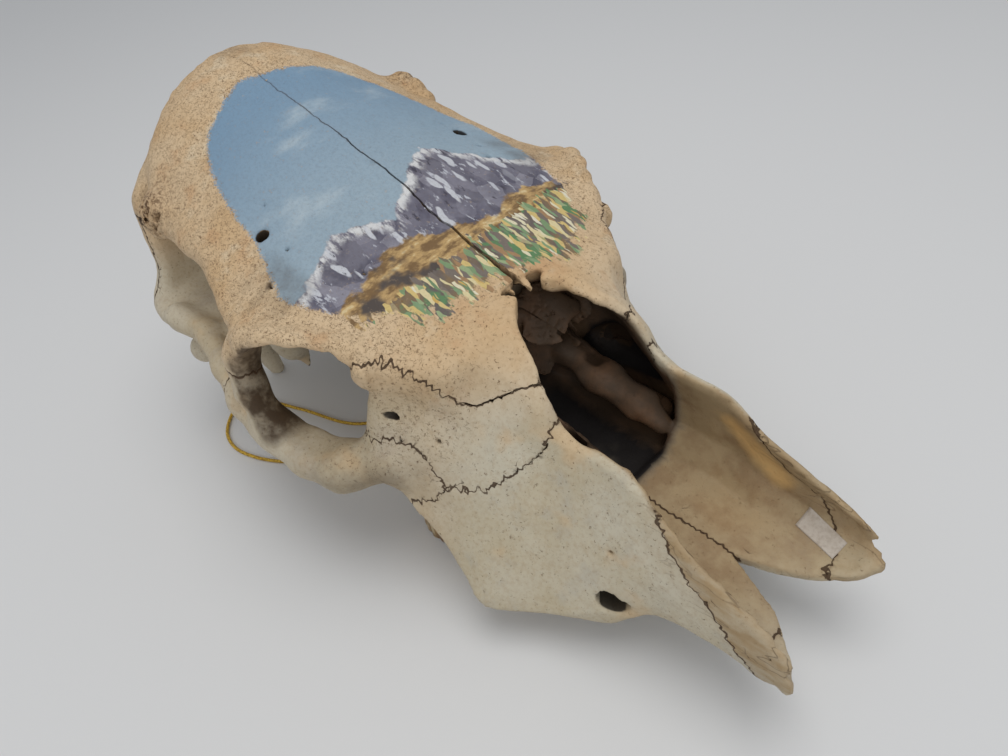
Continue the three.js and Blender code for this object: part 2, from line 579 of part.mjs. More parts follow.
// One cheek tooth: two lobes on the cheek side, a flat worn crown and a rim on the chewing face
function tooth(length, width, foot, top) {
  const half = length / 2;
  const shape = new THREE.Shape();
  const lobes = 12;
  shape.moveTo(-half, 0);
  for (let i = 0; i <= lobes; i++) {
    const t = i / lobes;
    const ridge = 0.9 * Math.abs(Math.cos(2 * Math.PI * t));
    shape.lineTo(-half + length * t, width * 0.5 - 1.6 + ridge + 0.9 * Math.sin(Math.PI * t));
  }
  for (let i = 0; i <= lobes; i++) {
    const t = i / lobes;
    const ridge = 1.3 * Math.abs(Math.sin(2 * Math.PI * t));
    shape.lineTo(half - length * t, -width * 0.5 + 1.3 - ridge);
  }
  shape.closePath();
  const g = new THREE.ExtrudeGeometry(shape, {
    depth: top - foot - 1.2, bevelEnabled: true, bevelSegments: 1, bevelThickness: 0.6, bevelSize: 0.6,
    bevelOffset: -0.6,
  });
  g.translate(0, 0, foot + 0.6);
  return g;
}

// Parts the skull into its bones. Each bone is taken off with the gap that its suture keeps
const whole = solid(simplify(boneSurface(CELL), FACETS)).intersect(block(-80, 480, -200, 200, 0, 300));
let rest = largest(whole);
const bones = {};
function takeOff(name, body, grown) {
  const piece = largest(rest.intersect(body));
  rest = rest.subtract(grown);
  bones[name] = piece;
}
const SIDES = [['left', 1], ['right', -1]];
for (const [word, side] of SIDES) {
  const form = {
    side, x0: -60, x1: 293,
    from: [[-60, 0.12], [293, 0.12]],
    to: FRONTAL_EDGE,
    inner: [[-60, 92], [8, 92], [34, 62], [60, 50], [200, 46], [232, 30], [293, 22]],
  };
  takeOff(`frontal_${word}`, sector(form), sector({ ...form, grow: SUTURE }));
}
{
  const body = (g) => block(-80, 13 + g, -150, 150, -10, 260)
    .add(block(-80, 27 + g, -71 - g, 71 + g, -10, 62 + g));
  takeOff('occipital', body(0), body(SUTURE));
}
for (const [word, side] of SIDES) {
  const form = {
    side, x0: 130, x1: 266,
    from: ZYGOMATIC_TOP,
    to: ZYGOMATIC_FOOT,
    inner: [[130, 84], [190, 82], [208, 74], [222, 71], [266, 66]],
  };
  takeOff(`zygomatic_${word}`, sector(form), sector({ ...form, grow: SUTURE }));
}
for (const [word, side] of SIDES) {
  const form = {
    side, x0: 13, x1: 130,
    from: [[13, 40], [130, 40]],
    to: TEMPORAL_FOOT,
    inner: [[13, 44], [60, 44], [130, 40]],
  };
  takeOff(`temporal_${word}`, sector(form), sector({ ...form, grow: SUTURE }));
}
for (const [word, side] of SIDES) {
  const form = {
    side, x0: 209, x1: 304.6,
    from: [[209, 30], [304.6, 30]],
    to: LACRIMAL_FOOT,
    inner: [[209, 56], [226, 50], [240, 24], [304.6, 10]],
  };
  takeOff(`lacrimal_${word}`, sector(form), sector({ ...form, grow: SUTURE }));
}
for (const [word, side] of SIDES) {
  takeOff(`incisive_${word}`, incisiveBlock(side, 0), incisiveBlock(side, SUTURE));
}
for (const [word, side] of SIDES) {
  const g = SUTURE / 2;
  const [y0, y1] = side > 0 ? [g, 200] : [-200, -g];
  const [w0, w1] = side > 0 ? [-g, 200] : [-200, g];
  takeOff(`maxilla_${word}`, block(212, 480, y0, y1, -10, 260), block(212 - SUTURE, 480, w0, w1, -10, 260));
}
bones.cranial_base = largest(rest);

// Cheek teeth, fused to the upper jaw on each side
const TOOTH_LENGTHS = [26.5, 25, 21.5, 17.5, 17];
const TOOTH_WIDTHS = [22, 23, 22, 18.5, 17];
const CROWN_FEET = [0, 0, 1.5, 3.5, 6];
for (const [word, side] of SIDES) {
  let x = 216;
  for (let i = 0; i < CHEEK_TEETH; i++) {
    const g = tooth(TOOTH_LENGTHS[i], TOOTH_WIDTHS[i], CROWN_FEET[i], 33);
    if (side > 0) g.rotateZ(Math.PI);
    g.translate(x + TOOTH_LENGTHS[i] / 2, side * (73 - 0.8 * i - 0.55 * i * i - TOOTH_WIDTHS[i] / 2), 0);
    bones[`maxilla_${word}`] = bones[`maxilla_${word}`].add(solid(g));
    x += TOOTH_LENGTHS[i] + 0.5;
  }
  bones[`maxilla_${word}`] = largest(bones[`maxilla_${word}`]);
}

// Hanging cord: a hitch round the left arch, and a slack loop that lies under the skull
const FLOOR = CORD_DIAMETER / 2 + 0.1;
class Lying extends THREE.CatmullRomCurve3 {
  getPoint(t, target) {
    const point = super.getPoint(t, target);
    point.z = Math.max(point.z, FLOOR);
    return point;
  }
}
function tube(points, steps, sides = 8) {
  const path = new Lying(points.map((v) => new THREE.Vector3(...v)), false, 'centripetal');
  const ring = new THREE.Shape();
  for (let i = 0; i < sides; i++) {
    const a = (2 * Math.PI * i) / sides;
    const [u, v] = [(CORD_DIAMETER / 2) * Math.cos(a), (CORD_DIAMETER / 2) * Math.sin(a)];
    if (i === 0) ring.moveTo(u, v);
    else ring.lineTo(u, v);
  }
  ring.closePath();
  return new THREE.ExtrudeGeometry(ring, { steps, extrudePath: path, bevelEnabled: false });
}
const CORD_ROUTE = [[118, 111.5, 79], [119, 112, 62], [124, 111, 32], [132, 100, 9], [140, 78, FLOOR],
  [146, 44, FLOOR], [143, 6, FLOOR], [130, -28, FLOOR], [112, -49.5, FLOOR], [69, -66, FLOOR],
  [32, -84, FLOOR], [29, -95, FLOOR], [38, -107, FLOOR], [50, -115, FLOOR], [66, -117.5, FLOOR],
  [84, -113, FLOOR], [104, -102, FLOOR], [132, -78, FLOOR], [152, -38, FLOOR], [160, 6, FLOOR],
  [160, 46, FLOOR], [153, 80, FLOOR], [141, 104, 10], [132, 113, 34], [126, 113.5, 62], [125, 113, 79]];
const HITCH = { x: 121.5, y: 112.6, z: 95.2, ry: 11.6, rz: 12.4, width: 7.5, thick: 1.9 };
function hitchRing() {
  const shape = new THREE.Shape();
  shape.absellipse(0, 0, HITCH.ry + HITCH.thick, HITCH.rz + HITCH.thick, 0, 2 * Math.PI);
  const hole = new THREE.Path();
  hole.absellipse(0, 0, HITCH.ry, HITCH.rz, 0, 2 * Math.PI, true);
  shape.holes.push(hole);
  const g = new THREE.ExtrudeGeometry(shape, {
    depth: HITCH.width,
    bevelEnabled: false,
    curveSegments: 14,
  });
  g.rotateX(Math.PI / 2);
  g.rotateZ(Math.PI / 2);
  g.translate(HITCH.x - HITCH.width / 2, HITCH.y, HITCH.z);
  return g;
}

// Colours of the bones, as each one looks on its outer face
const COLOURS = {
  frontal: 0xd0b48c, occipital: 0xc2a680, temporal: 0xc8ad86, zygomatic: 0xcbb28c,
  lacrimal: 0xc9b28e, maxilla: 0xc6b496, incisive: 0xbda789, cranial: 0x9c8362,
};
const skull = new THREE.Group();
for (const [name, body] of Object.entries(bones)) {
  const kind = name.split('_')[0];
  const material = new THREE.MeshStandardMaterial({ color: COLOURS[kind], roughness: 0.72, metalness: 0 });
  const mesh = new THREE.Mesh(geometryOf(body), material);
  mesh.name = name;
  mesh.position.x = FRAME_SHIFT;
  skull.add(mesh);
}
const gold = new THREE.MeshStandardMaterial({ color: 0xc9a227, roughness: 0.5, metalness: 0.1 });
for (const [name, geometry] of [['hanging_cord', tube(CORD_ROUTE, 78)], ['cord_hitch', hitchRing()]]) {
  const mesh = new THREE.Mesh(geometry, gold.clone());
  mesh.name = name;
  mesh.position.x = FRAME_SHIFT;
  skull.add(mesh);
}

export default skull;
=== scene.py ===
"""Dressed model of the skull of a hornless cow, with a landscape painted on its forehead."""

import math

import bpy
import numpy as np
from mathutils import Matrix, Vector
from mathutils.bvhtree import BVHTree


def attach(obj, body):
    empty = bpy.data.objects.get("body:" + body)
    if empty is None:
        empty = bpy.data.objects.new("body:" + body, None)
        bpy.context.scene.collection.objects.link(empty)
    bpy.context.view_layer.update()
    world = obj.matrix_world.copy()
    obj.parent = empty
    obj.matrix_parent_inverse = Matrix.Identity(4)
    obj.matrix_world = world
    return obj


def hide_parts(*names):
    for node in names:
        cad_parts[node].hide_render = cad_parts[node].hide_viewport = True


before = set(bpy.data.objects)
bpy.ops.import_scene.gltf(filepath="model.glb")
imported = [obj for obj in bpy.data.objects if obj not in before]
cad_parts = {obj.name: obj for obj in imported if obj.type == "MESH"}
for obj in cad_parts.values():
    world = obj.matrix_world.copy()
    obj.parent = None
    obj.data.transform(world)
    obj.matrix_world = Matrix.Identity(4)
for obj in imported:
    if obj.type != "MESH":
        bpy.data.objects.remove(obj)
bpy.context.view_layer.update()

MM = 0.001
SHIFT = -204.7  # mm, from the drawing's X zero, at the poll, to the frame's, at the middle of the length
CELL = 1.6  # mm, size of the cubes that the bone surface is taken from

# Camera
RIGHT = (0.690, 0.715, -0.118)
DOWN = (0.426, -0.531, -0.733)
FORWARD = (-0.586, 0.455, -0.670)
EYE = (490.7, -205.5, 377.5)
PICTURE_WIDTH = 1008  # pixels
FOCAL = 782.7  # pixels
SENSOR = 36
LENS = FOCAL / PICTURE_WIDTH * SENSOR


def metres(P):
    """Points in the drawing's mm as points in the frame."""
    return (np.asarray(P, float) + np.array([SHIFT, 0, 0])) * MM


def add_camera():
    data = bpy.data.cameras.new("camera")
    data.sensor_width = SENSOR
    data.lens = LENS
    data.clip_start = 0.01
    cam = bpy.data.objects.new("camera", data)
    place = metres(EYE)
    rows = [[RIGHT[i], -DOWN[i], -FORWARD[i], place[i]] for i in range(3)]
    cam.matrix_world = Matrix(rows + [[0, 0, 0, 1]])
    bpy.context.scene.collection.objects.link(cam)
    bpy.context.scene.camera = cam


add_camera()


# Depth functions: each gives mm to a surface, below zero inside
def rise(v, start, run):
    """From 0 at the start to 1 at the end of the run."""
    return np.clip((v - start) / run, 0, 1)


def fall(v, end, run):
    """From 1 at a run before the end to 0 at the end."""
    return np.clip((end - v) / run, 0, 1)


def cv(x, knots):
    """Smooth curve through the knots of a profile."""
    K = np.asarray(knots, float)
    X, V = K[:, 0], K[:, 1]
    d = np.diff(V) / np.diff(X)
    m = np.zeros(len(X))
    for i in range(1, len(X) - 1):
        m[i] = 0 if d[i - 1] * d[i] <= 0 else 2 * d[i - 1] * d[i] / (d[i - 1] + d[i])
    m[0], m[-1] = d[0], d[-1]
    x = np.clip(x, X[0], X[-1])
    i = np.clip(np.searchsorted(X, x, side="right") - 1, 0, len(X) - 2)
    h = X[i + 1] - X[i]
    t = (x - X[i]) / h
    return ((1 + 2 * t) * (1 - t) ** 2 * V[i] + t * (1 - t) ** 2 * h * m[i]
            + t * t * (3 - 2 * t) * V[i + 1] + t * t * (t - 1) * h * m[i + 1])


def span(v, lo, hi):
    """Depth in the stretch from lo to hi."""
    return np.maximum(lo - v, v - hi)


def smin(a, b, k):
    """The lower of two depths, blended where they are less than k apart."""
    h = np.maximum(k - np.abs(a - b), 0) / k
    return np.minimum(a, b) - h * h * k * 0.25


def smax(a, b, k):
    return -smin(-a, -b, k)


def egg(x, y, z, c, r):
    """An egg with its centre and its three half axes."""
    a, b, d = (x - c[0]) / r[0], (y - c[1]) / r[1], (z - c[2]) / r[2]
    k0 = np.sqrt(a * a + b * b + d * d)
    k1 = np.sqrt((a / r[0]) ** 2 + (b / r[1]) ** 2 + (d / r[2]) ** 2) + 1e-9
    return k0 * (k0 - 1) / k1


def rod(x, y, z, p, q, squash=1.0):
    """A round rod from p to q, each x, y, z and radius."""
    ax, ay, az, ra = p
    bx, by, bz, rb = q
    dx, dy, dz = bx - ax, by - ay, bz - az
    t = ((x - ax) * dx + (y - ay) * dy + (z - az) * dz) / (dx * dx + dy * dy + dz * dz)
    t = np.clip(t, 0, 1)
    near = np.sqrt((x - ax - t * dx) ** 2 + (y - ay - t * dy) ** 2 + ((z - az - t * dz) / squash) ** 2)
    return near - (ra + (rb - ra) * t)


def chain(x, y, z, P, k=6.0, squash=1.0):
    """Rods from point to point, blended where they meet."""
    f = rod(x, y, z, P[0], P[1], squash)
    for p, q in zip(P[1:-1], P[2:]):
        f = smin(f, rod(x, y, z, p, q, squash), k)
    return f


def outline_depth(u, v, P, sides):
    """Signed distance to an outline, below zero inside, measured to the first of its sides."""
    near, inside = np.inf, False
    for i, (au, av) in enumerate(P):
        bu, bv = P[(i + 1) % len(P)]
        eu, ev = bu - au, bv - av
        if i < sides:
            t = np.clip(((u - au) * eu + (v - av) * ev) / (eu * eu + ev * ev + 1e-9), 0, 1)
            near = np.minimum(near, (u - au - t * eu) ** 2 + (v - av - t * ev) ** 2)
        steep = np.where(np.abs(ev) < 1e-9, 1e-9, ev)
        inside = inside ^ (((av > v) != (bv > v)) & (u < eu * (v - av) / steep + au))
    return np.where(inside, -np.sqrt(near), np.sqrt(near))


def loft(x, y, z, rows):
    """A body through half outlines. Each row is an x, then y and z of the points round it."""
    S = np.asarray(rows, float)
    P = [(cv(x, S[:, [0, i]]), cv(x, S[:, [0, i + 1]])) for i in range(1, S.shape[1], 2)]
    return outline_depth(y, z, P, len(P) - 1)


# Midline height, fall of the roof at 100 mm from it, and half width of the forehead, along x
MID = [(-22, 216), (-10, 218), (9, 218.5), (56, 207), (95, 199), (135, 188), (170, 178), (194, 168),
       (243, 154), (300, 142)]
DROP = [(-20, 74), (0, 58), (25, 49), (45, 44), (87, 36), (104, 33), (128, 30), (150, 26), (170, 20),
        (186, 13), (200, 9), (215, 10), (230, 12), (250, 14)]
EDGE = [(-18, 0), (-17, 26), (-14, 42), (-8, 54), (0, 63), (12, 75), (25, 85), (40, 93), (60, 98),
        (82, 99), (104, 100), (123, 105), (135, 109), (150, 113), (170, 116), (186, 113), (195, 108),
        (206, 100), (214, 94), (223, 89), (232, 84), (245, 76), (266, 60)]
# Half outlines of the face and of the hollow in it: x, then y and z of the points from the top round
FACE = [
    [205, 0, 158, 40, 158, 70, 152, 80, 138, 80, 112, 76, 80, 72, 62, 72, 30, 48, 28, 38, 43, 0, 43],
    [225, 0, 154, 40, 154, 67, 151, 78, 142, 85, 122, 91, 98, 76, 64, 73, 28, 48, 26, 37, 43, 0, 43],
    [245, 0, 151, 30, 150, 53, 146, 65, 131, 79, 107, 90, 66, 80, 54, 72, 25, 47, 24, 36, 42, 0, 43],
    [265, 0, 149, 22, 149, 47, 141, 58, 123, 73, 95, 89, 50, 80, 42, 71, 22, 46, 22, 35, 42, 0, 43],
    [283, 0, 144, 28, 143, 40, 134, 50, 116, 67, 86, 91, 36, 82, 28, 70, 21, 45, 21, 34, 42, 0, 43],
    [298, 0, 131, 34, 130, 40, 124, 49, 103, 62, 82, 94, 28, 84, 20, 70, 21, 44, 21, 33, 42, 0, 43],
    [307, 0, 116, 36, 116, 40, 112, 49, 93, 61, 75, 89, 26, 82, 19, 68, 21, 43, 21, 32, 42, 0, 43],
    [320, 0, 112, 35, 112, 38, 110, 47, 90, 58, 68, 79, 26, 74, 20, 66, 21, 42, 21, 31, 42, 0, 43],
    [340, 0, 113, 34, 113, 37, 110, 44, 90, 54, 66, 68, 32, 65, 25, 60, 22, 40, 22, 29, 42, 0, 43],
    [352, 0, 110, 35, 110, 38, 107, 44, 88, 52, 66, 60, 38, 59, 28, 56, 23, 38, 24, 28, 42, 0, 43],
    [360, 0, 104, 36, 104, 38, 101, 43, 84, 50, 66, 54, 44, 53, 34, 50, 29, 37, 31, 27, 41, 0, 43],
    [371, 0, 96, 37, 96, 39, 93, 43, 80, 47, 66, 48, 48, 46, 39, 42, 37, 34, 38, 24, 41, 0, 43],
    [390, 0, 86, 38, 86, 40, 84, 44, 74, 46, 62, 46, 50, 43, 42, 38, 40, 28, 41, 16, 42, 0, 43],
    [410, 0, 79, 38, 79, 41, 77, 44, 68, 45, 58, 44, 49, 41, 42, 34, 41, 26, 42, 18, 43, 0, 43],
    [425, 0, 71, 39, 71, 41, 69, 43, 62, 43, 54, 42, 44, 40, 39, 36, 40, 30, 42, 22, 43, 0, 43],
    [440, 0, 58, 40, 58, 41, 57, 42, 55, 42, 52, 42, 48, 40, 45, 38, 45, 34, 45, 28, 45, 0, 45],
]
CAVITY = [
    [228, 0, 140, 16, 138, 28, 130, 38, 112, 40, 80, 30, 62, 0, 58],
    [246, 0, 170, 1, 150, 28, 138, 46, 116, 50, 80, 42, 54, 0, 50],
    [256, 0, 190, 8, 190, 9, 146, 44, 128, 60, 92, 56, 52, 0, 49],
    [267, 0, 190, 19, 190, 19, 144, 42, 128, 64, 84, 60, 50, 0, 48],
    [283, 0, 190, 26, 190, 26, 138, 40, 118, 60, 76, 60, 49, 0, 48],
    [298, 0, 190, 32, 190, 32, 124, 42, 100, 56, 72, 60, 49, 0, 48],
    [313, 0, 190, 33, 190, 33, 108, 43, 86, 52, 64, 54, 49, 0, 48],
    [318, 0, 190, 32, 190, 32, 108, 37, 88, 38, 70, 26, 54, 0, 50],
    [334, 0, 190, 31, 190, 31, 108, 37, 88, 39, 70, 28, 54, 0, 50.5],
    [352, 0, 190, 33, 190, 33, 105, 38, 86, 40, 68, 30, 53, 0, 50.5],
    [371, 0, 190, 35, 190, 35, 92, 39, 78, 39, 64, 28, 51, 0, 50.5],
    [390, 0, 190, 36, 190, 36, 84, 40, 72, 40, 60, 30, 50, 0, 49],
    [410, 0, 190, 36, 190, 36, 77, 41, 67, 40, 58, 30, 49, 0, 49],
    [425, 0, 190, 37, 190, 37, 70, 40, 62, 39, 55, 32, 48, 0, 48],
    [445, 0, 190, 38, 190, 38, 57, 39, 55, 39, 52, 36, 48, 0, 48],
]
# Half width of the gap between the muzzle blades, along x
GAP = [(376, -3), (383, 0), (400, 7), (413, 13), (426, 24), (437, 37), (445, 48)]


def roof_at(x, y):
    """Height of the roof, with y counted from the midline."""
    return cv(x, MID) - cv(x, DROP) * (y / 100) ** 1.7


def half_skull(x, y, z):
    """Depth in the bone, with y counted from the midline. Below zero is bone."""
    top = roof_at(x, y)
    # Forehead plate and the knob at its corner
    thick = 24 - 13 * rise(y, 55, 45)
    f = smax(smax((z - top) * 0.93, (top - thick) - z, 7),
             smax((y - cv(x, EDGE)) * 0.93, span(x, -17, 264), 4), 9)
    f = smin(f, egg(x, y, z, (44, 90, 164), (15, 11, 13)), 8)
    # Brain case
    bw = cv(x, [(0, 56), (40, 66), (80, 64), (120, 48), (160, 42), (215, 46)])
    bb = cv(x, [(0, 74), (40, 62), (90, 64), (130, 74), (215, 78)])
    f = smin(f, smax(smax(y - bw, bb - z, 22), smax(z - (top - 8), span(x, 2, 222), 6), 10), 14)
    # Wall of the nape
    yn = cv(z, [(40, 60), (55, 74), (72, 92), (84, 106), (92, 109), (100, 106), (124, 97), (150, 95),
                (170, 92), (200, 70)])
    xn = cv(z, [(40, 14), (80, 6), (120, 4), (170, 0), (205, -14)])
    f = smin(f, smax(smax((y - yn) * .95, np.maximum(xn - x, x - xn - 17), 7),
                     smax(46 - z, z - (top - 4), 6), 7), 8)
    # Shelf over the ear, root of the cheek arch, and the knobs and spikes below the ear
    sh = smax(smax(y - cv(x, [(10, 108), (30, 114), (45, 111), (60, 104), (80, 100), (100, 80)]),
                   span(x, 12, 96), 8), smax(z - 104 + .06 * (y - 60), 90 - z, 5), 6)
    f = smin(f, sh, 9)
    f = smin(f, egg(x, y, z, (86, 78, 92), (14, 24, 11)), 8)
    f = smin(f, chain(x, y, z, [(26, 72, 64, 15), (26, 96, 57, 10)]), 8)
    f = smin(f, egg(x, y, z, (46, 46, 46), (18, 14, 20)), 6)
    f = smin(f, chain(x, y, z, [(46, 44, 34, 7), (57, 41, 18, 1.5)]), 4)
    # Cheek arch
    f = smin(f, chain(x, y, z, [(44, 106, 99, 8), (75, 103, 99, 7), (110, 110, 96, 7.5), (140, 116, 92, 9),
                                (170, 115, 84, 11)], 6, 1.15), 7)
    f = smin(f, chain(x, y, z, [(160, 114, 84, 9), (190, 109, 78, 12), (212, 103, 79, 12.5),
                                (234, 85, 83, 10)], 10), 8)
    # Rim of the orbit
    f = smin(f, chain(x, y, z, [(168, 116, 92, 8), (160, 116, 112, 8), (157, 113, 132, 9)]), 8)
    f = smin(f, chain(x, y, z, [(158, 110, 137, 8), (170, 111, 148, 6), (185, 108, 154, 5),
                                (198, 101, 155, 5), (209, 93, 153, 5), (220, 85, 150, 5),
                                (229, 77, 145, 6.5)], 5), 6)
    # Face
    f = smin(f, smax(loft(x, y, z, FACE), span(x, 207, 439), 5), 12)
    # Thin plate behind the palate
    py = cv(x, [(120, 24), (160, 26), (215, 36)])
    pz = cv(x, [(118, 60), (140, 34), (152, 22), (165, 30), (215, 40)])
    f = smin(f, smax(smax(np.abs(y - py) - 3.5, span(x, 118, 215), 4),
                     smax(pz - z, z - 85, 4), 3), 5)
    # Base of the brain case, joint for the neck and the process beside it
    f = smin(f, smax(smax(y - cv(x, [(0, 22), (40, 16), (70, 14), (130, 17)]),
                          span(x, 0, 150), 5),
                     smax(cv(x, [(0, 52), (60, 52), (130, 60)]) - z, z - 80, 5), 5), 8)
    f = smin(f, egg(x, y, z, (-9, 25, 70), (20, 16, 20)), 6)
    f = smin(f, chain(x, y, z, [(12, 60, 62, 12), (12, 57, 30, 9), (16, 53, 3.4, 6)]), 8)
    # Hollows: orbit, temple and nose
    f = smax(f, -egg(x + (96 - y) * 0.2, y, z, (194, 104, 121.5), (32.5, 66, 34)), 4)
    f = smax(f, -egg(x, y, z, (207, 92, 134), (20, 40, 20)), 4)
    fossa = smax(cv(x, [(95, 60), (150, 48), (210, 66)]) - y, span(x, 100, 206), 14)
    fossa = smax(fossa, z - 118, 14)
    fossa = smax(fossa, y - cv(x, [(95, 96), (140, 104), (170, 100), (205, 92)]), 8)
    f = smax(f, -fossa, 4)
    hollow = smax(loft(x, y, z, CAVITY), span(x, 226, 460), 3)
    f = smax(f, -hollow, 2)
    # Gap between the muzzle blades, opening for the spine, and the throat
    f = smax(f, -smax(y - cv(x, GAP), 377 - x, 2), 2)
    f = smax(f, -rod(x, y, z, (-40, 0, 93, 18), (24, 0, 92, 14)), 3)
    f = smax(f, -smax(smax(y - 21, span(x, 132, 222), 3), smax(z - 68, 10 - z, 6), 6), 3)
    # Small holes
    f = smax(f, -rod(x, y, z, (365, 65, 41, 5.2), (347, 44, 44, 6)), 1.5)
    f = smax(f, -rod(x, y, z, (360, 66, 43, 5.6), (341, 45, 47, 6)), 1.5)
    f = smax(f, -rod(x, y, z, (133, 71, 181, 4.2), (129, 68, 158, 3)), 2)
    f = smax(f, -rod(x, y, z, (231, 91, 117, 1.5), (241, 70, 112, 1.7)), .6)
    f = smax(f, -rod(x, y, z, (234, 90, 116.4, 1.3), (243, 70, 111, 1.6)), .6)
    return f


TABLES = {}


def blend(T, sides):
    """Value of a grid between its points, from the lower and upper index and the share on each axis."""
    (i0, i1, u), (j0, j1, v), (k0, k1, w) = sides
    out = 0
    for i, a in ((i0, 1 - u), (i1, u)):
        for j, b in ((j0, 1 - v), (j1, v)):
            for k, c in ((k0, 1 - w), (k1, w)):
                out = out + T[i, j, k] * (a * b * c)
    return out


def vnoise(x, y, z, cell, seed):
    """Smooth value noise from -1 to 1, on a lattice of the given cell size in mm."""
    if seed not in TABLES:
        TABLES[seed] = np.random.default_rng(seed).random((32, 32, 32)).astype(np.float32) * 2 - 1
    sides = []
    for c in (x, y, z):
        c = c / cell + 100.37
        i = np.floor(c).astype(np.int32)
        t = (c - i).astype(np.float32)
        sides.append((i & 31, (i + 1) & 31, t * t * (3 - 2 * t)))
    return blend(TABLES[seed], sides)


# The bone grid
GX = np.arange(-34, 444, CELL)
HALF = np.arange(0, 133, CELL)
GY = np.concatenate([-HALF[:0:-1], HALF])
GZ = np.arange(-3.2, 224, CELL)


def bone_grid():
    slab = 16
    half = np.empty((len(GX), len(HALF), len(GZ)), np.float32)
    for i in range(0, len(GX), slab):
        x = GX[i:i + slab, None, None]
        half[i:i + slab] = half_skull(x, HALF[None, :, None], GZ[None, None, :])
    full = np.concatenate([half[:, :0:-1], half], 1)
    return np.maximum(full, -GZ[None, None, :].astype(np.float32))


F = bone_grid()


def window(lo, hi):
    """Index ranges and coordinates of the part of the grid between two corners, in mm."""
    cut = []
    for G, a, b in ((GX, lo[0], hi[0]), (GY, lo[1], hi[1]), (GZ, lo[2], hi[2])):
        i = max(int(np.searchsorted(G, a)) - 1, 0)
        j = min(int(np.searchsorted(G, b)) + 1, len(G))
        cut.append(slice(i, j))
    s = tuple(cut)
    return s, GX[s[0]][:, None, None], GY[s[1]][None, :, None], GZ[s[2]][None, None, :]


def drill(p, q, k=1.0):
    """Cuts a round hole from p to q, each x, y, z, radius."""
    margin = 10
    s, x, y, z = window([min(p[i], q[i]) - margin for i in range(3)],
                        [max(p[i], q[i]) + margin for i in range(3)])
    F[s] = smax(F[s], -rod(x, y, z, p, q), k)


def roughen():
    """Lumps and pits on the surface, stronger where muscles held on and where the bone is broken."""
    reach = 7
    idx = np.nonzero(np.abs(F) < reach)
    x, y, z = GX[idx[0]], GY[idx[1]], GZ[idx[2]]
    ay = np.abs(y)

    def near(cx, cy, cz, r):
        return np.exp(-((x - cx) ** 2 + (ay - cy) ** 2 + (z - cz) ** 2) / (r * r))

    knob = np.maximum(near(46, 96, 166, 15), near(52, 92, 179, 12) * (y > 0))
    tuber = near(298, 90, 24, 16)
    nape = fall(x, 6, 12) * (z > 100)
    tips = rise(x, 415, 20)
    notch = np.exp(-((x - 262) ** 2) / 900) * np.exp(-(ay / 26) ** 2) * (z > 125)
    n = 0.42 * vnoise(x, y, z, 15, 1) + 0.30 * vnoise(x, y, z, 7, 2) + 0.16 * vnoise(x, y, z, 3.6, 3)
    orbit = near(229, 87, 138, 13)
    n = n + ((knob * 1.5 + tuber * 1.1 + nape * 0.7 + notch * 1.0 + orbit * 1.6 + tips * 1.1)
             * vnoise(x, y, z, 4.6, 4))
    n = n + (knob * 0.9 + tips * 1.7 + tuber * .7) * vnoise(x, y, z, 9, 5)
    n = n.astype(np.float32)
    nose = np.nonzero((x > 240) & (z > 40))[0]
    xn, yn, zn = x[nose], ay[nose], z[nose]
    torn = np.exp(-(loft(xn, yn, zn, FACE) ** 2 + loft(xn, yn, zn, CAVITY) ** 2) / 14)
    torn = torn * (0.7 * vnoise(xn, y[nose], zn, 4.2, 6) + 0.6 * vnoise(xn, y[nose], zn, 11, 7)
                   + 0.4 * np.abs(vnoise(xn, y[nose], zn, 2.4, 8)))
    n[nose] += torn.astype(np.float32)
    F[idx] += n


def lift_far_half():
    """The far half of the poll stands a little higher than the near half."""
    i = int(np.searchsorted(GX, 118))
    j = int(np.searchsorted(GY, 2))
    x, y, z = GX[:i, None, None], GY[None, j:, None], GZ[None, None, :]
    lift = 4.0 * fall(x, 112, 70) * rise(y, 0, 32) * rise(z, 132, 26)
    at = np.clip((z - lift - GZ[0]) / CELL, 0, len(GZ) - 1.001)
    k = at.astype(int)
    t = (at - k).astype(np.float32)
    part = F[:i, j:, :]
    F[:i, j:, :] = (np.take_along_axis(part, k, 2) * (1 - t)
                    + np.take_along_axis(part, k + 1, 2) * t)
    s, x, y, z = window((24, 70, 150), (76, 116, 200))
    for middle, radii, k in (((45, 94, 173), (9, 9, 9.5), 4), ((56, 95, 171), (10, 8, 9.5), 2),
                             ((66, 94, 167), (8, 8, 8), 2)):
        F[s] = smin(F[s], egg(x, y, z, middle, radii), k)


def sheet(x, y, z, middle, normal, thick, reach, seed):
    """A torn, rumpled sheet of thin bone with a ragged outline."""
    n = np.array(normal, float) / np.linalg.norm(normal)
    dx, dy, dz = x - middle[0], y - middle[1], z - middle[2]
    off = dx * n[0] + dy * n[1] + dz * n[2]
    out = np.sqrt(np.maximum(dx * dx + dy * dy + dz * dz - off * off, 0))
    flat = np.abs(off + 3.5 * vnoise(x, y, z, 15, seed)) - thick
    return smax(flat, out - reach - 7 * vnoise(x, y, z, 10, seed + 1), 1.5)


# The torn sheets in the nose: middle, normal, half thickness, reach and seed of each
SHEETS = (((246, 20, 120), (-0.5, 0.35, -0.8), 1.0, 17, 12),
          ((240, 34, 108), (-0.2, 0.9, -0.4), 1.0, 20, 14),
          ((238, 6, 104), (-0.9, 0.2, -0.3), 1.1, 24, 17),
          ((246, -22, 112), (-0.2, -0.8, -0.5), 1.1, 18, 19))
PIT = ((268, 57, 79), (29, 15, 15))  # middle and half axes of the side opening in the nose


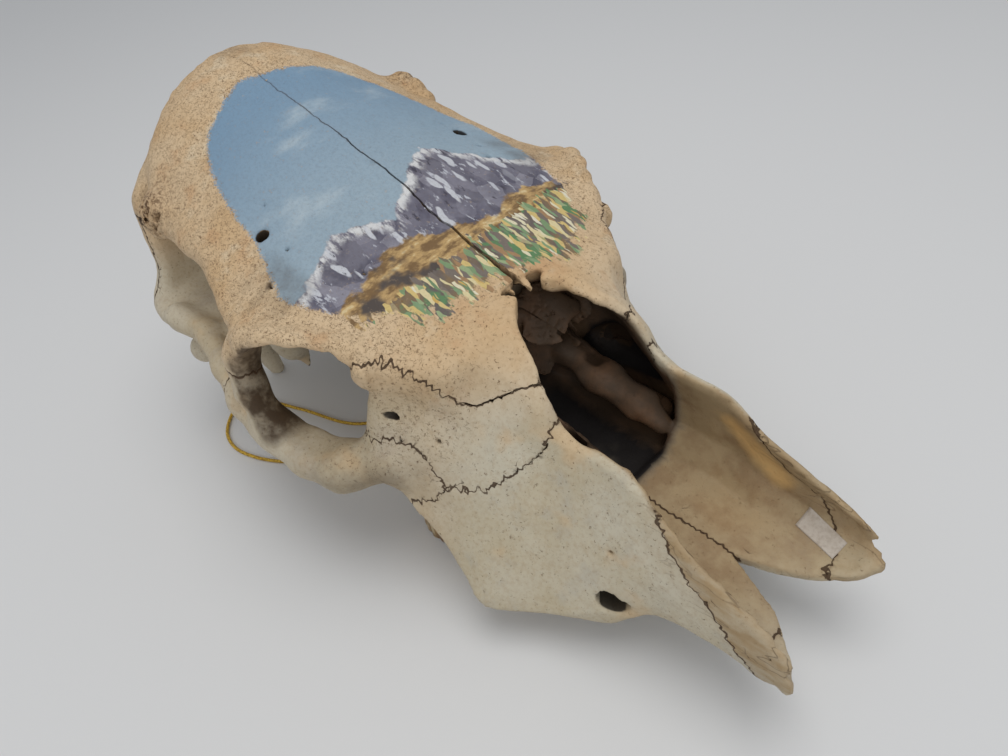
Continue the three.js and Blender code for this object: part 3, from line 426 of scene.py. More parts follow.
def inner_nose():
    """Vomer, lower scroll and the torn scrolls of thin bone, deep in the nose."""
    s, x, y, z = window((224, -62, 44), (330, 66, 172))
    roof = loft(x, np.abs(y), z, FACE)
    warp = 3.0 * vnoise(x, y, z, 17, 11)
    add = smax(np.abs(y + warp * 0.5) - 2.2, z - cv(x, [(226, 84), (270, 70), (318, 56)]), 2)
    add = smax(add, x - 322, 2)
    low = chain(x, y, z, [(222, 30, 98, 8), (246, 31, 88, 9), (272, 33, 79, 9.5), (296, 35, 72, 8.5),
                          (312, 36, 66, 6)], 8, 0.85)
    low = smin(low, rod(x, y, z, (240, 40, 78, 7), (300, 48, 60, 8)), 8)
    add = smin(add, low + 1.3 * vnoise(x, y, z, 9, 16) + 0.5 * vnoise(x, y, z, 4, 29), 3)
    for facts in SHEETS:
        add = smin(add, sheet(x, y, z, *facts), 1)
    add = smax(add, roof + 5, 2)
    F[s] = smin(F[s], add, 2)
    pit = smax(egg(x, y, z, *PIT) + 1.0 * vnoise(x, y, z, 9, 30), roof + 4, 2)
    pit = smax(pit, 47 - y, 2)
    F[s] = smax(F[s], -pit, 2)
    lip = chain(x, y, z, [(256, 13, 150, 2.4), (268, 19, 147, 2.2), (280, 23, 142, 1.8),
                          (291, 29, 134, 0.9)], 3)
    shard = rod(x, y, z, (240, -7, 151, 2.2), (250, -4.5, 149.5, 1.3))
    shard = smin(shard, rod(x, y, z, (244, 5, 152, 2.1), (255, 3.0, 149.5, 1.2)), 1)
    F[s] = smin(F[s], smin(lip, shard, 1) + 0.4 * vnoise(x, y, z, 3.5, 27), 1.5)


def orbit_tips():
    """The rough tip of each lacrimal, where it makes the front edge of the orbit."""
    for side in (-1, 1):
        ys = sorted((side * 74, side * 98))
        s, x, y, z = window((214, ys[0], 122), (244, ys[1], 160))
        F[s] = smin(F[s], egg(x, side * y, z, (229.5, 86.5, 141), (5.5, 4, 8)), 1.5)


lift_far_half()
inner_nose()
orbit_tips()
roughen()
# Nutrient holes of both sides, then those of one side, then the pores of the two knobs
for side in (-1, 1):
    drill((151.5, side * 68, 176, 1.5), (150, side * 67, 164, 1.2))
    drill((175, side * 65, 173, 1.3), (173, side * 63, 163, 1.1))
    drill((259.5, side * 73, 103.5, 1.6), (255, side * 62, 101, 1.2))
    drill((349.5, side * 53, 72.5, 1.3), (346, side * 45, 71, 1.1))
for a, b in (((195, -51, 168, 1.6), (193, -51, 158, 1.1)), ((164, -87.5, 166, 1.2), (160, -86, 158, 1.0)),
             ((166, 62, 174, 1.9), (164, 61, 164, 1.5)), ((120, 67, 179, 1.1), (119, 66, 173, .8)),
             ((119, -58, 184, .9), (118, -58, 178, .8)), ((247, -72, 112, 1.1), (244, -66, 109, .9))):
    drill(a, b)
PORES_EACH = 34
rng = np.random.default_rng(7)
for side in (-1, 1):
    for _ in range(PORES_EACH):
        a, b = rng.uniform(-1, 1, 2)
        c = np.array([46 + 10 * a, side * (98 + 3 * rng.random()), 166 + 9 * b])
        drill((*c, rng.uniform(0.8, 1.7)), (*(c - np.array([0, side * 9, 3])), 0.8), 0.6)


# Sutures
GAP_EACH = 0.06  # mm, each bone's share of the gap at a closed suture
FRONTAL_EDGE = [(-60, 58), (20, 58), (45, 60), (104, 62), (135, 67), (150, 73), (165, 75), (180, 75),
                (203, 71), (219, 66), (228, 59), (236, 56.6), (252, 57.3), (262, 61), (269, 63), (281, 53),
                (292, 41)]
LACRIMAL_FOOT = [(208, 88), (226, 86.2), (239, 85.2), (250, 87.8), (258, 95), (264, 101), (274, 101),
                 (282, 100), (288, 97.2), (293, 94), (296, 90), (300, 85.4), (303, 78), (305, 66)]
ZYGOMATIC_TOP = [(128, 70), (150, 72), (165, 74), (185, 76), (208, 88), (226, 86.2), (239, 85.2),
                 (250, 87.8), (258, 95), (266, 101)]
ZYGOMATIC_FOOT = [(128, 135), (190, 128), (212, 119), (225, 115), (248, 109), (264, 104), (266, 102)]
TEMPORAL_FOOT = [(13, 150), (66, 150), (82, 118), (132, 118)]
INCISIVE_LINE = [(40, 425), (57, 411), (67, 403), (74, 395), (77, 386), (88, 373), (97, 366), (106, 361)]


def mid_wander(x, z):
    return 1.3 * vnoise(x, 0 * x, 0 * x, 17, 21) + 0.7 * vnoise(x, 0 * x, z * 0.3, 4, 22)


def sector(x, y, z, side, x0, x1, start, end, inner):
    """Depth in the block between two rays from the long axis, with ragged sides."""
    rag = 0.35 * vnoise(x, y, z, 3.2, 23) + 1.2 * vnoise(x, y, z, 8, 24)
    rp = np.hypot(y, z - 95)
    th = np.degrees(np.arctan2(side * y, z - 95))
    arc = rp * math.pi / 180
    r = np.maximum((th - cv(x, end)) * arc + rag, cv(x, inner) - rp)
    if start is None:
        y0 = mid_wander(x, z)
        r = np.maximum(r, side * (y0 - y))
    else:
        r = np.maximum(r, (cv(x, start) - th) * arc - rag)
    return np.maximum(r, span(x, x0, x1) + rag)


def gape(name, x, y, z):
    """How far a bone's edge stands back from the suture, where the suture has opened."""
    back = GAP_EACH
    if name.startswith("frontal"):
        ay = np.abs(y)
        mid = cv(x, [(-20, 0), (95, 0.04), (125, 0.32), (170, 0.55), (210, 0.8), (236, 1.3), (262, 2.8)])
        back = back + mid * fall(ay, 16, 5)
        front = rise(x, 262, 8) * rise(ay, 24, 8)
        back = back + 0.55 * front * (0.4 + np.abs(vnoise(x, y, z, 5, 28)) * 2)
    return back


def occipital_region(x, y, z):
    low = np.maximum(np.maximum(x - 27, np.abs(y) - 71), z - 62)
    return np.minimum(x - 13, low) + 0.8 * vnoise(x, y, z, 4, 25)


def incisive_region(x, y, z, side):
    line = (np.interp(z, *zip(*INCISIVE_LINE)) - x) * .8
    return np.maximum(line + 0.9 * vnoise(x, y, z, 3.2, 26), -side * y)


def maxilla_region(x, y, z, side):
    return np.maximum(212 - x, side * (mid_wander(x, z) * 0.5 - y))


def bone_regions():
    """Each bone's name, its window and its region, in the order in which they are taken off."""
    out = []

    def pair(bone, lo, hi, shape, *facts):
        """A bone on each side, from the window of the left one."""
        for word, s in (("left", 1), ("right", -1)):
            ys = sorted((s * lo[1], s * hi[1]))
            out.append((f"{bone}_{word}", ((lo[0], ys[0], lo[2]), (hi[0], ys[1], hi[2])),
                        lambda x, y, z, s=s: shape(x, y, z, s, *facts)))

    pair("frontal", (-36, -6, 100), (298, 130, 224), sector, -90, 293, None, FRONTAL_EDGE,
         [(-60, 92), (8, 92), (34, 62), (60, 50), (200, 46), (232, 30), (293, 22)])
    out.append(("occipital", ((-36, -116, -4), (32, 116, 200)), occipital_region))
    pair("zygomatic", (126, 30, 20), (270, 132, 140), sector, 130, 266, ZYGOMATIC_TOP, ZYGOMATIC_FOOT,
         [(130, 84), (190, 82), (208, 74), (222, 71), (266, 66)])
    pair("temporal", (8, 10, 12), (134, 130, 175), sector, 13, 130, [(13, 30), (130, 30)], TEMPORAL_FOOT,
         [(13, 44), (60, 44), (130, 40)])
    pair("lacrimal", (204, 18, 70), (310, 100, 160), sector, 209, 304.6, [(209, 20), (304, 20)],
         LACRIMAL_FOOT, [(209, 56), (226, 50), (240, 24), (304, 10)])
    pair("incisive", (352, -4, 20), (444, 60, 120), incisive_region)
    pair("maxilla", (206, -6, -4), (444, 104, 150), maxilla_region)
    out.append(("cranial_base", ((-20, -100, -4), (230, 100, 200)), None))
    return out


# Surface of a depth grid
def nets(f, gx, gy, gz):
    """Surface of the zero level, as points in mm and quads that face outwards."""
    s = f < 0
    n = tuple(v - 1 for v in f.shape)
    count = np.zeros(n, np.int8)
    corners = [(a, b, c) for a in (0, 1) for b in (0, 1) for c in (0, 1)]
    for a, b, c in corners:
        count += s[a:n[0] + a, b:n[1] + b, c:n[2] + c]
    m = (count > 0) & (count < 8)
    I = np.argwhere(m)
    idx = np.full(n, -1, np.int32)
    idx[m] = np.arange(len(I))
    val = {c: f[I[:, 0] + c[0], I[:, 1] + c[1], I[:, 2] + c[2]] for c in corners}
    acc = np.zeros((len(I), 3))
    cnt = np.zeros(len(I))
    for p in corners:
        for ax in range(3):
            if p[ax] == 0:
                q = tuple(1 if i == ax else p[i] for i in range(3))
                hit = (val[p] < 0) != (val[q] < 0)
                t = np.where(hit, val[p] / (val[p] - val[q] + 1e-12), 0)
                pt = np.tile(np.array(p, float), (len(I), 1))
                pt[:, ax] += t
                acc += pt * hit[:, None]
                cnt += hit
    V = acc / cnt[:, None] + I
    V = V * CELL + np.array([gx[0], gy[0], gz[0]])
    quads = []
    around = (((0, -1, -1), (0, 0, -1), (0, 0, 0), (0, -1, 0)),
              ((-1, 0, -1), (-1, 0, 0), (0, 0, 0), (0, 0, -1)),
              ((-1, -1, 0), (0, -1, 0), (0, 0, 0), (-1, 0, 0)))
    for ax in range(3):
        lo = [slice(1, -1)] * 3
        hi = [slice(1, -1)] * 3
        lo[ax] = slice(0, -1)
        hi[ax] = slice(1, None)
        a, b = s[tuple(lo)], s[tuple(hi)]
        E = np.argwhere(a != b)
        E = E + np.array([0 if i == ax else 1 for i in range(3)])
        low = s[E[:, 0], E[:, 1], E[:, 2]]
        q = np.stack([idx[E[:, 0] + o[0], E[:, 1] + o[1], E[:, 2] + o[2]] for o in around[ax]], 1)
        q[~low] = q[~low][:, ::-1]
        quads.append(q)
    Q = np.concatenate(quads)
    Q = Q[(Q >= 0).all(1)]
    return V, Q


def biggest(V, Q):
    """Only the largest connected piece of a mesh."""
    lab = np.arange(len(V))
    while True:
        low = lab[Q].min(1)
        new = lab.copy()
        for c in range(4):
            np.minimum.at(new, Q[:, c], low)
        new = new[new]
        if (new == lab).all():
            break
        lab = new
    names, counts = np.unique(lab[Q[:, 0]], return_counts=True)
    keep = lab == names[counts.argmax()]
    Q = Q[keep[Q[:, 0]]]
    renum = np.cumsum(keep) - 1
    return V[keep], renum[Q]


def sample(G, P):
    """Depth of the grid at points in mm."""
    c = (P - np.array([GX[0], GY[0], GZ[0]])) / CELL
    c = np.clip(c, 0, np.array(G.shape) - 1.001)
    i = c.astype(int)
    t = c - i
    return blend(G, [(i[:, k], i[:, k] + 1, t[:, k]) for k in range(3)])


def smooth(me):
    me.polygons.foreach_set("use_smooth", [True] * len(me.polygons))


def new_mesh(name, V, faces):
    """An object from points in the drawing's mm and faces."""
    me = bpy.data.meshes.new(name)
    me.from_pydata(metres(V).tolist(), [], [list(map(int, q)) for q in faces])
    me.update()
    smooth(me)
    o = bpy.data.objects.new(name, me)
    bpy.context.scene.collection.objects.link(o)
    return o


def band(a, b, n):
    """Faces between two rings of n points, by the numbers of their first points."""
    return [(a + i, a + (i + 1) % n, b + (i + 1) % n, b + i) for i in range(n)]


def decimate(o, ratio):
    """Fewer faces where the surface is flat."""
    mod = o.modifiers.new("fewer", "DECIMATE")
    mod.ratio = ratio
    deps = bpy.context.evaluated_depsgraph_get()
    me = bpy.data.meshes.new_from_object(o.evaluated_get(deps))
    old = o.data
    o.modifiers.clear()
    o.data = me
    bpy.data.meshes.remove(old)
    me.name = o.name
    smooth(me)


def read(me, what):
    """A vector for each point of a mesh."""
    out = np.empty(len(me.vertices) * 3, np.float32)
    me.vertices.foreach_get(what, out)
    return out.reshape(-1, 3)


def points_of(o):
    return read(o.data, "co").astype(float) / MM - np.array([SHIFT, 0, 0])


def attribute(o, name, values):
    values = np.asarray(values, np.float32)
    kind, key = ("FLOAT_VECTOR", "vector") if values.ndim == 2 else ("FLOAT", "value")
    o.data.attributes.new(name, kind, "POINT").data.foreach_set(key, values.ravel())


# Where the paint lies
PATCH = [(33, -13), (37, 2), (40, 22), (46, 44), (65, 62), (84, 70), (103, 77), (125, 89), (143, 90),
         (165, 87), (184, 82), (206, 76), (226, 64), (238, 55), (245, 40), (247, 28), (243, 10), (239, -4),
         (238, -18), (236, -36), (230, -50), (217, -64), (208, -74), (198, -81), (185, -86), (172, -89),
         (156, -83), (142, -78), (126, -74), (112, -72), (93, -69), (74, -63), (56, -55), (47, -45),
         (39, -29)]


# The holes with painted shade inside them: two ends, the radius and how far under the skin the painted shade
# starts
HOLES = [((363, 65, 42), (344, 44, 45), 7.0, 1.0), ((133, 71, 179.5), (129, 68, 158), 4.0, 0.4),
         ((232.5, 91, 116.7), (242, 70, 111.5), 2.6, 0.5)]

# The bones
FAR = 9.0  # mm, the distance that stands for any longer one to a suture
FACES = 95000  # of all the bones together
SHARP = math.radians(62)


def hollow_of(P):
    """Signed distance to the hollow of the nose, below zero inside it."""
    return loft(P[:, 0], np.abs(P[:, 1]), P[:, 2], CAVITY)


def dress_vertices(o, name):
    """Facts about each point that the bone material uses."""
    P = points_of(o)
    N = read(o.data, "normal")
    x, y, z = P.T
    ay = np.abs(y)
    hollow = hollow_of(P)
    under = -loft(x, ay, z, FACE)
    roof = roof_at(x, ay)
    facts = {}

    # Sutures: cut walls, the signed distance, its foot on the suture, and how toothed and dark it is
    seam = nearest(P, name)
    off = np.abs(seam)
    wall = fall(sample(whole, P), -0.25, 1.0) * (off < 3.5)
    facts["seam"] = wall * (1 - 0.75 * rise(x, 335, 10))
    facts["suture"] = np.clip(seam, -8, 8)
    near = off < FAR - 0.1
    run = slope(lambda A: nearest(A, name), P[near], 0.4)
    run /= np.maximum((run * run).sum(1), 0.3)[:, None]
    facts["foot"] = P.copy()
    facts["foot"][near] -= seam[near][:, None] * run
    middle = (ay < 9) & (z > 120)
    comb = np.where((x > 200) & (x < 320), 1, 0.45) - 0.6 * rise(x, 262, 8) * rise(z, 114, 6)
    facts["comb"] = np.where(middle, 0.12, np.maximum(comb, 0.3))
    facts["drawn"] = np.where(middle, 0.5 * rise(x, 10, 60), 1) * fall(off, 4.6, 1)

    # Hollows and openings: painted shade in hollows, the nose's dark inside, partly stain and partly painted
    # shadow, and painted shade in the small holes
    # How open each point is: the less open, the more painted shade in hollows
    open5, open14 = (np.clip(sample(F, P + N * d) / d, -0.2, 1) for d in (5, 14))
    facts["open"] = np.clip(0.5 * open5 + 0.5 * open14, 0, 1)
    # Deep in the nose the bone is stained dark brown, and the colour there also holds painted shadow
    deep = fall(hollow, 2.2, 1.5) * rise(x, 224, 4) * fall(x, 323, 4)
    deep = deep * (1 - rise(x, 292, 14) * rise(z, 100, 10)) * rise(under, 2.5, 3)
    pit = np.clip(1.8 - egg(x, y, z, *PIT) / 2.5, 0, 1) * rise(y, 45, 3)
    deep = np.clip(np.maximum(deep, pit * (under > 2)), 0, 1)
    facts["deep"] = deep
    # Near-black painted shadow on the floor of the nose, at its back and round its side opening
    low = fall(z, 62, 8) * fall(y, 34, 5)
    back = fall(x, 236, 8) * fall(z, 100, 12)
    facts["void_shadow"] = np.clip(np.maximum(pit, np.maximum(low, back)), 0, 1) * deep
    # Painted shade inside the small holes, from the bone's skin inwards
    skin = np.where(x > 222, under, roof - z)
    hole = np.full(len(P), -4.0)
    for a, b, r, lip in HOLES:
        d = rod(x, ay, z, (*a, r), (*b, r))
        hole = np.maximum(hole, np.minimum((0.9 - d) / 0.6, (skin - lip) / 1.4))
    facts["hole"] = np.clip(hole, -4, 3)

    # Stains, painted shade on the back wall of the orbit, a darker patch on the cheek, and broken edges
    stain = np.minimum(rod(x, y, z, (352, 37, 92, 2.5), (366, 39, 81, 5)),
                       rod(x, y, z, (366, 39, 81, 5), (380, 41, 70, 4)))
    facts["stain"] = np.clip(1 - stain / 5.5, 0, 1) * (y > 20) * fall(hollow, 2.2, 1.2)
    # Painted shade on the back wall of the orbit, where it faces forward; the patch on the cheek is only
    # darker
    ahead = N[:, 0] + 0.15 - 0.3 * N[:, 1] * np.sign(y)
    temple = fall(x, 187, 8) * rise(x, 140, 10) * rise(ay, 70, 8) * rise(ahead, 0, 0.4) * rise(z, 84, 8)
    cheek = np.exp(-(((x - 232) / 26) ** 2) - (((z - 80) / 12) ** 2)) * (ay > 60)
    facts["orbit_shade_cheek_dark"] = np.clip(np.maximum(1.15 * temple, 0.65 * cheek), 0, 1.15)
    edge = np.clip(1.4 - under / 4, 0, 1) * np.clip(1.4 - np.abs(hollow) / 4, 0, 1)
    facts["torn"] = rise(x, 352, 12) * edge
    facts["strip"] = float(name.startswith("incisive")) * rise(hollow, 1.2, 1.2)
    facts["inner"] = fall(hollow, 2.6, 1.5) * rise(x, 318, 5) * (1 - 0.45 * rise(x, 385, 40))

    # Colour and texture of the open bone
    tone = rise(x, 222, 60) * fall(z, 150, 40)
    facts["pale"] = np.clip(tone + 0.85 * (fall(z, 140, 22) * fall(x, 256, 34)), 0, 1)
    fore = rise(z, 120, 25) * rise(N[:, 2], -0.2, 0.5) * fall(x, 290, 80)
    front = np.exp(-((x - 240) / 26) ** 2 - ((z - 112) / 28) ** 2) * (ay > 50)
    knob = np.exp(-((x - 44) ** 2 / 260 + (ay - 97) ** 2 / 300 + (z - 172) ** 2 / 330))
    facts["porous"] = np.clip(fore + 0.75 * front + knob, 0, 1)
    facts["knob"] = knob
    facts["paint"] = np.where((roof - z < 10) & (N[:, 2] > 0.12), outline_depth(x, y, PATCH, len(PATCH)), 60)
    for fact, values in facts.items():
        attribute(o, fact, values)


def nearest(P, name, cut=False):
    """Signed distance to a bone's nearest suture, or to its own nearest cut face."""
    best = np.full(len(P), FAR)
    x, y, z = P.T
    for other, (lo, hi), region in REGIONS:
        if region is None:
            break
        m = np.all((P > np.array(lo) - 3) & (P < np.array(hi) + 3), 1)
        if m.any():
            r = region(x[m], y[m], z[m])
            if cut:
                r = r + gape(name, x[m], y[m], z[m]) if other == name else GAP_EACH - r
            old = best[m]
            best[m] = np.where(np.abs(r) < np.abs(old), r, old)
        if other == name:
            break
    return best


def slope(fn, P, h):
    """Rate of change of a depth function at points."""
    G = np.empty_like(P)
    for k in range(3):
        d = np.zeros(3)
        d[k] = h
        G[:, k] = (fn(P + d) - fn(P - d)) / (2 * h)
    return G


def sharpen(V, name):
    """Moves the points by a suture onto the edge where the suture meets the surface."""
    V = V.copy()
    near = (np.abs(sample(whole, V)) < CELL) & (np.abs(nearest(V, name, True)) < CELL)
    P = V[near]
    start = P.copy()

    def surface(Q):
        return sample(whole, Q)

    def cut(Q):
        return nearest(Q, name, True)

    for _ in range(3):
        a, b = slope(surface, P, 0.8), slope(cut, P, 0.35)
        fa, fb = surface(P), cut(P)
        aa, bb, ab = (a * a).sum(1), (b * b).sum(1), (a * b).sum(1)
        det = aa * bb - ab * ab
        ok = det > 0.15 * aa * bb + 1e-9
        det = np.where(ok, det, 1)
        u = (fa * bb - fb * ab) / det
        v = (fb * aa - fa * ab) / det
        step = -(u[:, None] * a + v[:, None] * b) * ok[:, None]
        size = np.linalg.norm(step, axis=1)[:, None]
        P = P + step * np.minimum(1, 0.9 / np.maximum(size, 1e-9))
    moved = P - start
    size = np.linalg.norm(moved, axis=1)[:, None]
    V[near] = start + moved * np.minimum(1, 1.3 * CELL / np.maximum(size, 1e-9))
    return V


def build_bones():
    """The surface of each bone, in the order in which they are taken off."""
    bones = {}
    rest = whole.copy()
    for name, (lo, hi), region in REGIONS:
        s, x, y, z = window(lo, hi)
        piece = rest[s].copy()
        if region is not None:
            r = region(x, y, z).astype(np.float32)
            rest[s] = np.maximum(piece, GAP_EACH - r)
            piece = np.maximum(piece, r + gape(name, x, y, z))
        box = np.full(tuple(v + 2 for v in piece.shape), 3.0, np.float32)
        box[1:-1, 1:-1, 1:-1] = piece
        V, Q = biggest(*nets(box, x.ravel() - CELL, y.ravel() - CELL, z.ravel() - CELL))
        bones[name] = (sharpen(V, name), Q)
    return bones


REGIONS = bone_regions()
whole = F.copy()
bones = build_bones()
keep = min(1.0, FACES / sum(len(q) for _, q in bones.values()))
objects = {}
for name, (V, Q) in bones.items():
    o = new_mesh(f"bone_{name}", V, Q)
    decimate(o, keep)
    o.data.set_sharp_from_angle(angle=SHARP)
    dress_vertices(o, name)
    objects[name] = o
    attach(o, "root")
    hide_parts(name)


# Materials
def srgb(r, g, b):
    def lin(c):
        c /= 255
        return c / 12.92 if c <= 0.04045 else ((c + 0.055) / 1.055) ** 2.4
    return (lin(r), lin(g), lin(b), 1)


class Nodes:
    """A material's node tree. A colour is a socket or a tuple of three sRGB values up to 255."""

    def __init__(self, name):
        self.mat = bpy.data.materials.new(name)
        self.mat.use_nodes = True
        self.t = self.mat.node_tree
        self.bsdf = self.t.nodes["Principled BSDF"]
        self.pos = self.add("ShaderNodeTexCoord").outputs["Object"]

    def add(self, kind, **props):
        n = self.t.nodes.new(kind)
        for k, v in props.items():
            setattr(n, k, v)
        return n

    def put(self, socket, value):
        if isinstance(value, bpy.types.NodeSocket):
            self.t.links.new(value, socket)
        else:
            socket.default_value = value

    def math(self, op, *values):
        n = self.add("ShaderNodeMath", operation=op)
        for socket, v in zip(n.inputs, values):
            self.put(socket, v)
        return n.outputs[0]

    def mul(self, first, *others):
        for v in others:
            first = self.math("MULTIPLY", first, v)
        return first

    def plus(self, a, b):
        return self.math("ADD", a, b)

    def minus(self, a, b):
        return self.math("SUBTRACT", a, b)

    def less(self, x):
        """What is left of 1."""
        return self.minus(1.0, x)

    def attr(self, name, out="Fac"):
        return self.add("ShaderNodeAttribute", attribute_name=name).outputs[out]

    def axis(self, i):
        sep = self.add("ShaderNodeSeparateXYZ")
        self.put(sep.inputs[0], self.pos)
        return sep.outputs[i]

    def ramp(self, x, a, b, lo=0.0, hi=1.0):
        n = self.add("ShaderNodeMapRange", interpolation_type="SMOOTHSTEP")
        for i, v in enumerate((x, a, b, lo, hi)):
            self.put(n.inputs[i], v)
        return n.outputs[0]

    def mix(self, fac, a, b):
        n = self.add("ShaderNodeMix", data_type="RGBA")
        self.put(n.inputs[0], fac)
        for i, v in ((6, a), (7, b)):
            self.put(n.inputs[i], srgb(*v) if isinstance(v, tuple) else v)
        return n.outputs[2]

    def over(self, base, colour, *shares):
        """A colour laid over another, as thick as the product of its shares."""
        return self.mix(self.mul(*shares), base, colour)

    def map(self, scale=(1, 1, 1), rot=(0, 0, 0), loc=(0, 0, 0), vec=None):
        n = self.add("ShaderNodeMapping")
        self.put(n.inputs[0], self.pos if vec is None else vec)
        n.inputs[1].default_value = loc
        n.inputs[2].default_value = rot
        n.inputs[3].default_value = scale
        return n.outputs[0]

    def noise(self, scale, detail=2.0, rough=0.5, vec=None, out=0, distort=0.0):
        n = self.add("ShaderNodeTexNoise")
        self.put(n.inputs["Vector"], self.pos if vec is None else vec)
        n.inputs["Scale"].default_value = scale
        n.inputs["Detail"].default_value = detail
        n.inputs["Roughness"].default_value = rough
        n.inputs["Distortion"].default_value = distort
        return n.outputs[out]

    def spots(self, scale, detail, rough, *steps):
        return self.ramp(self.noise(scale, detail, rough), *steps)

    def wave(self, height, scale, detail, rough, vec=None):
        """Noise about zero."""
        return self.mul(self.minus(self.noise(scale, detail, rough, vec), .5), height)

    def vein(self, noise, a, b):
        """Thin lines where a noise passes its middle."""
        return self.ramp(self.math("ABSOLUTE", self.minus(noise, .5)), a, b)

    def palette(self, fac, stops):
        """Colours in flat steps: each stop is a start and a colour."""
        n = self.add("ShaderNodeValToRGB")
        ramp = n.color_ramp
        ramp.interpolation = "CONSTANT"
        while len(ramp.elements) < len(stops):
            ramp.elements.new(1.0)
        for e, (at, colour) in zip(ramp.elements, stops):
            e.position = at
            e.color = srgb(*colour)
        self.put(n.inputs[0], fac)
        return n.outputs[0]

    def dabs(self, scale, turn, stretch, seed):
        """Brush dabs: a random value for each dab, and how near its middle a point is."""
        wob = self.add("ShaderNodeVectorMath", operation="ADD")
        self.put(wob.inputs[0], self.map(loc=(seed, seed * 0.37, 0)))
        w = self.add("ShaderNodeVectorMath", operation="SCALE")
        self.put(w.inputs[0], self.noise(90, 2, .5, out=1))
        w.inputs[3].default_value = 0.006
        self.put(wob.inputs[1], w.outputs[0])
        vec = self.map((stretch, 1.0, 0.0), (0, 0, turn), vec=wob.outputs[0])
        n = self.add("ShaderNodeTexVoronoi", feature="F1")
        self.put(n.inputs["Vector"], vec)
        n.inputs["Scale"].default_value = scale
        sep = self.add("ShaderNodeSeparateColor")
        self.put(sep.inputs[0], n.outputs[1])
        return sep.outputs[0], sep.outputs[1], n.outputs[0]

    def bump(self, height, strength, distance, normal=None):
        n = self.add("ShaderNodeBump")
        n.inputs["Strength"].default_value = strength
        n.inputs["Distance"].default_value = distance
        self.put(n.inputs["Height"], height)
        if normal is not None:
            self.put(n.inputs["Normal"], normal)
        return n.outputs[0]

    def surface(self, colour, rough, normal=None, specular=None, metal=None):
        """Fills the shader's sockets and gives the material."""
        for key, v in (("Base Color", colour), ("Roughness", rough), ("Normal", normal),
                       ("Specular IOR Level", specular), ("Metallic", metal)):
            if v is not None:
                self.put(self.bsdf.inputs[key], v)
        return self.mat


def painting(g):
    """A plain landscape: sky, a grey ridge with snow, a tan hill and a flowery meadow."""
    u = g.axis(1)
    v = g.mul(g.axis(0), -1.0)
    vv = g.plus(v, g.wave(0.016, 95, 4, .6))

    def skyline(*tents):
        """The highest of some tents, each with its middle, its top and its slope."""
        tops = [g.minus(top, g.mul(g.math("ABSOLUTE", g.minus(u, u0)), slope)) for u0, top, slope in tents]
        line = tops[0]
        for other in tops[1:]:
            line = g.math("MAXIMUM", line, other)
        return line

    def below(line, soft=0.0012):
        return g.ramp(g.minus(line, vv), -soft, soft)

    # Sky
    sky = g.mix(g.ramp(v, 0.03, 0.17), (146, 164, 176), (116, 144, 168))
    cloud = g.noise(30, 5, .6, g.map((1.0, 0.45, 1)))
    sky = g.over(sky, (168, 182, 190), g.ramp(cloud, .50, .78))
    sky = g.over(sky, (100, 130, 156), g.spots(420, 3, .6, .45, .8), .35)

    # Ridge
    ridge = skyline((0.030, 0.062, 0.75), (-0.048, 0.040, 0.5), (0.085, 0.030, .4))
    rock = g.noise(60, 4, .6, g.map(rot=(0, 0, .6)))
    rock = g.mix(g.ramp(rock, .38, .62), (78, 76, 92), (132, 130, 142))
    crag = g.noise(120, 5, .65, g.map((.55, 1.5, 1), (0, 0, .5)))
    plane, _, _ = g.dabs(105, .45, .55, 0.17)
    slab = g.palette(plane, ((0.0, (96, 94, 108)), (.25, (118, 116, 128)), (.55, (138, 136, 146)),
                             (.80, (84, 82, 94))))
    rock = g.mix(.55, rock, slab)
    _, pick, near = g.dabs(210, .62, .30, 0.53)
    rock = g.over(rock, (190, 192, 198), g.ramp(pick, .70, .74), g.ramp(near, .46, .34))
    rock = g.over(rock, (180, 182, 190), g.ramp(crag, .58, .64))
    rock = g.over(rock, (66, 64, 76), g.ramp(crag, .40, .33))
    pic = g.mix(below(ridge), sky, rock)
    snow = g.mul(below(ridge), g.ramp(g.minus(ridge, vv), .011, .003))
    pic = g.over(pic, (206, 206, 206), snow, g.ramp(crag, .42, .55))

    # Hill
    hill = skyline((-0.030, 0.014, 0.32), (0.055, 0.006, .3))
    strokes = g.noise(150, 4, .65, g.map((1.1, .5, 1), (0, 0, -.35)))
    tan = g.mix(g.ramp(strokes, .40, .60), (118, 92, 60), (186, 154, 104))
    tan = g.over(tan, (205, 184, 140), g.ramp(strokes, .58, .66))
    tan = g.over(tan, (78, 70, 66), g.spots(45, 3, .6, .50, .62))
    pic = g.mix(below(hill), pic, tan)

    # Meadow
    mead = g.plus(-0.010, g.mul(u, 0.05))
    base = g.mix(g.spots(38, 3, .6, .42, .58), (100, 92, 88), (126, 106, 80))
    moss = g.noise(60, 3, .6, g.map(rot=(0, 0, .9)))
    base = g.over(base, (92, 128, 88), g.ramp(moss, .50, .58))
    first, pick, _ = g.dabs(430, .40, .25, 0.0)
    leaf = g.palette(first, ((0.0, (116, 106, 98)), (.18, (120, 144, 106)), (.36, (146, 162, 122)),
                             (.50, (202, 178, 116)), (.68, (156, 124, 90)), (.76, (210, 196, 152)),
                             (.92, (108, 132, 98))))
    grass = g.over(base, leaf, g.ramp(pick, .25, .30))
    second, pick, near = g.dabs(480, -.55, .20, 0.31)
    leaf = g.palette(second, ((0.0, (214, 206, 176)), (.30, (204, 182, 124)), (.52, (124, 150, 114)),
                              (.72, (216, 210, 190)), (.86, (194, 160, 92))))
    grass = g.over(grass, leaf, g.ramp(pick, .58, .62), g.ramp(near, .50, .42))
    tuft = g.wave(.024, 260, 2, .5, g.map((.22, 1.0, 1), (0, 0, .15)))
    return g.mix(below(g.plus(mead, tuft), .0006), pic, grass)


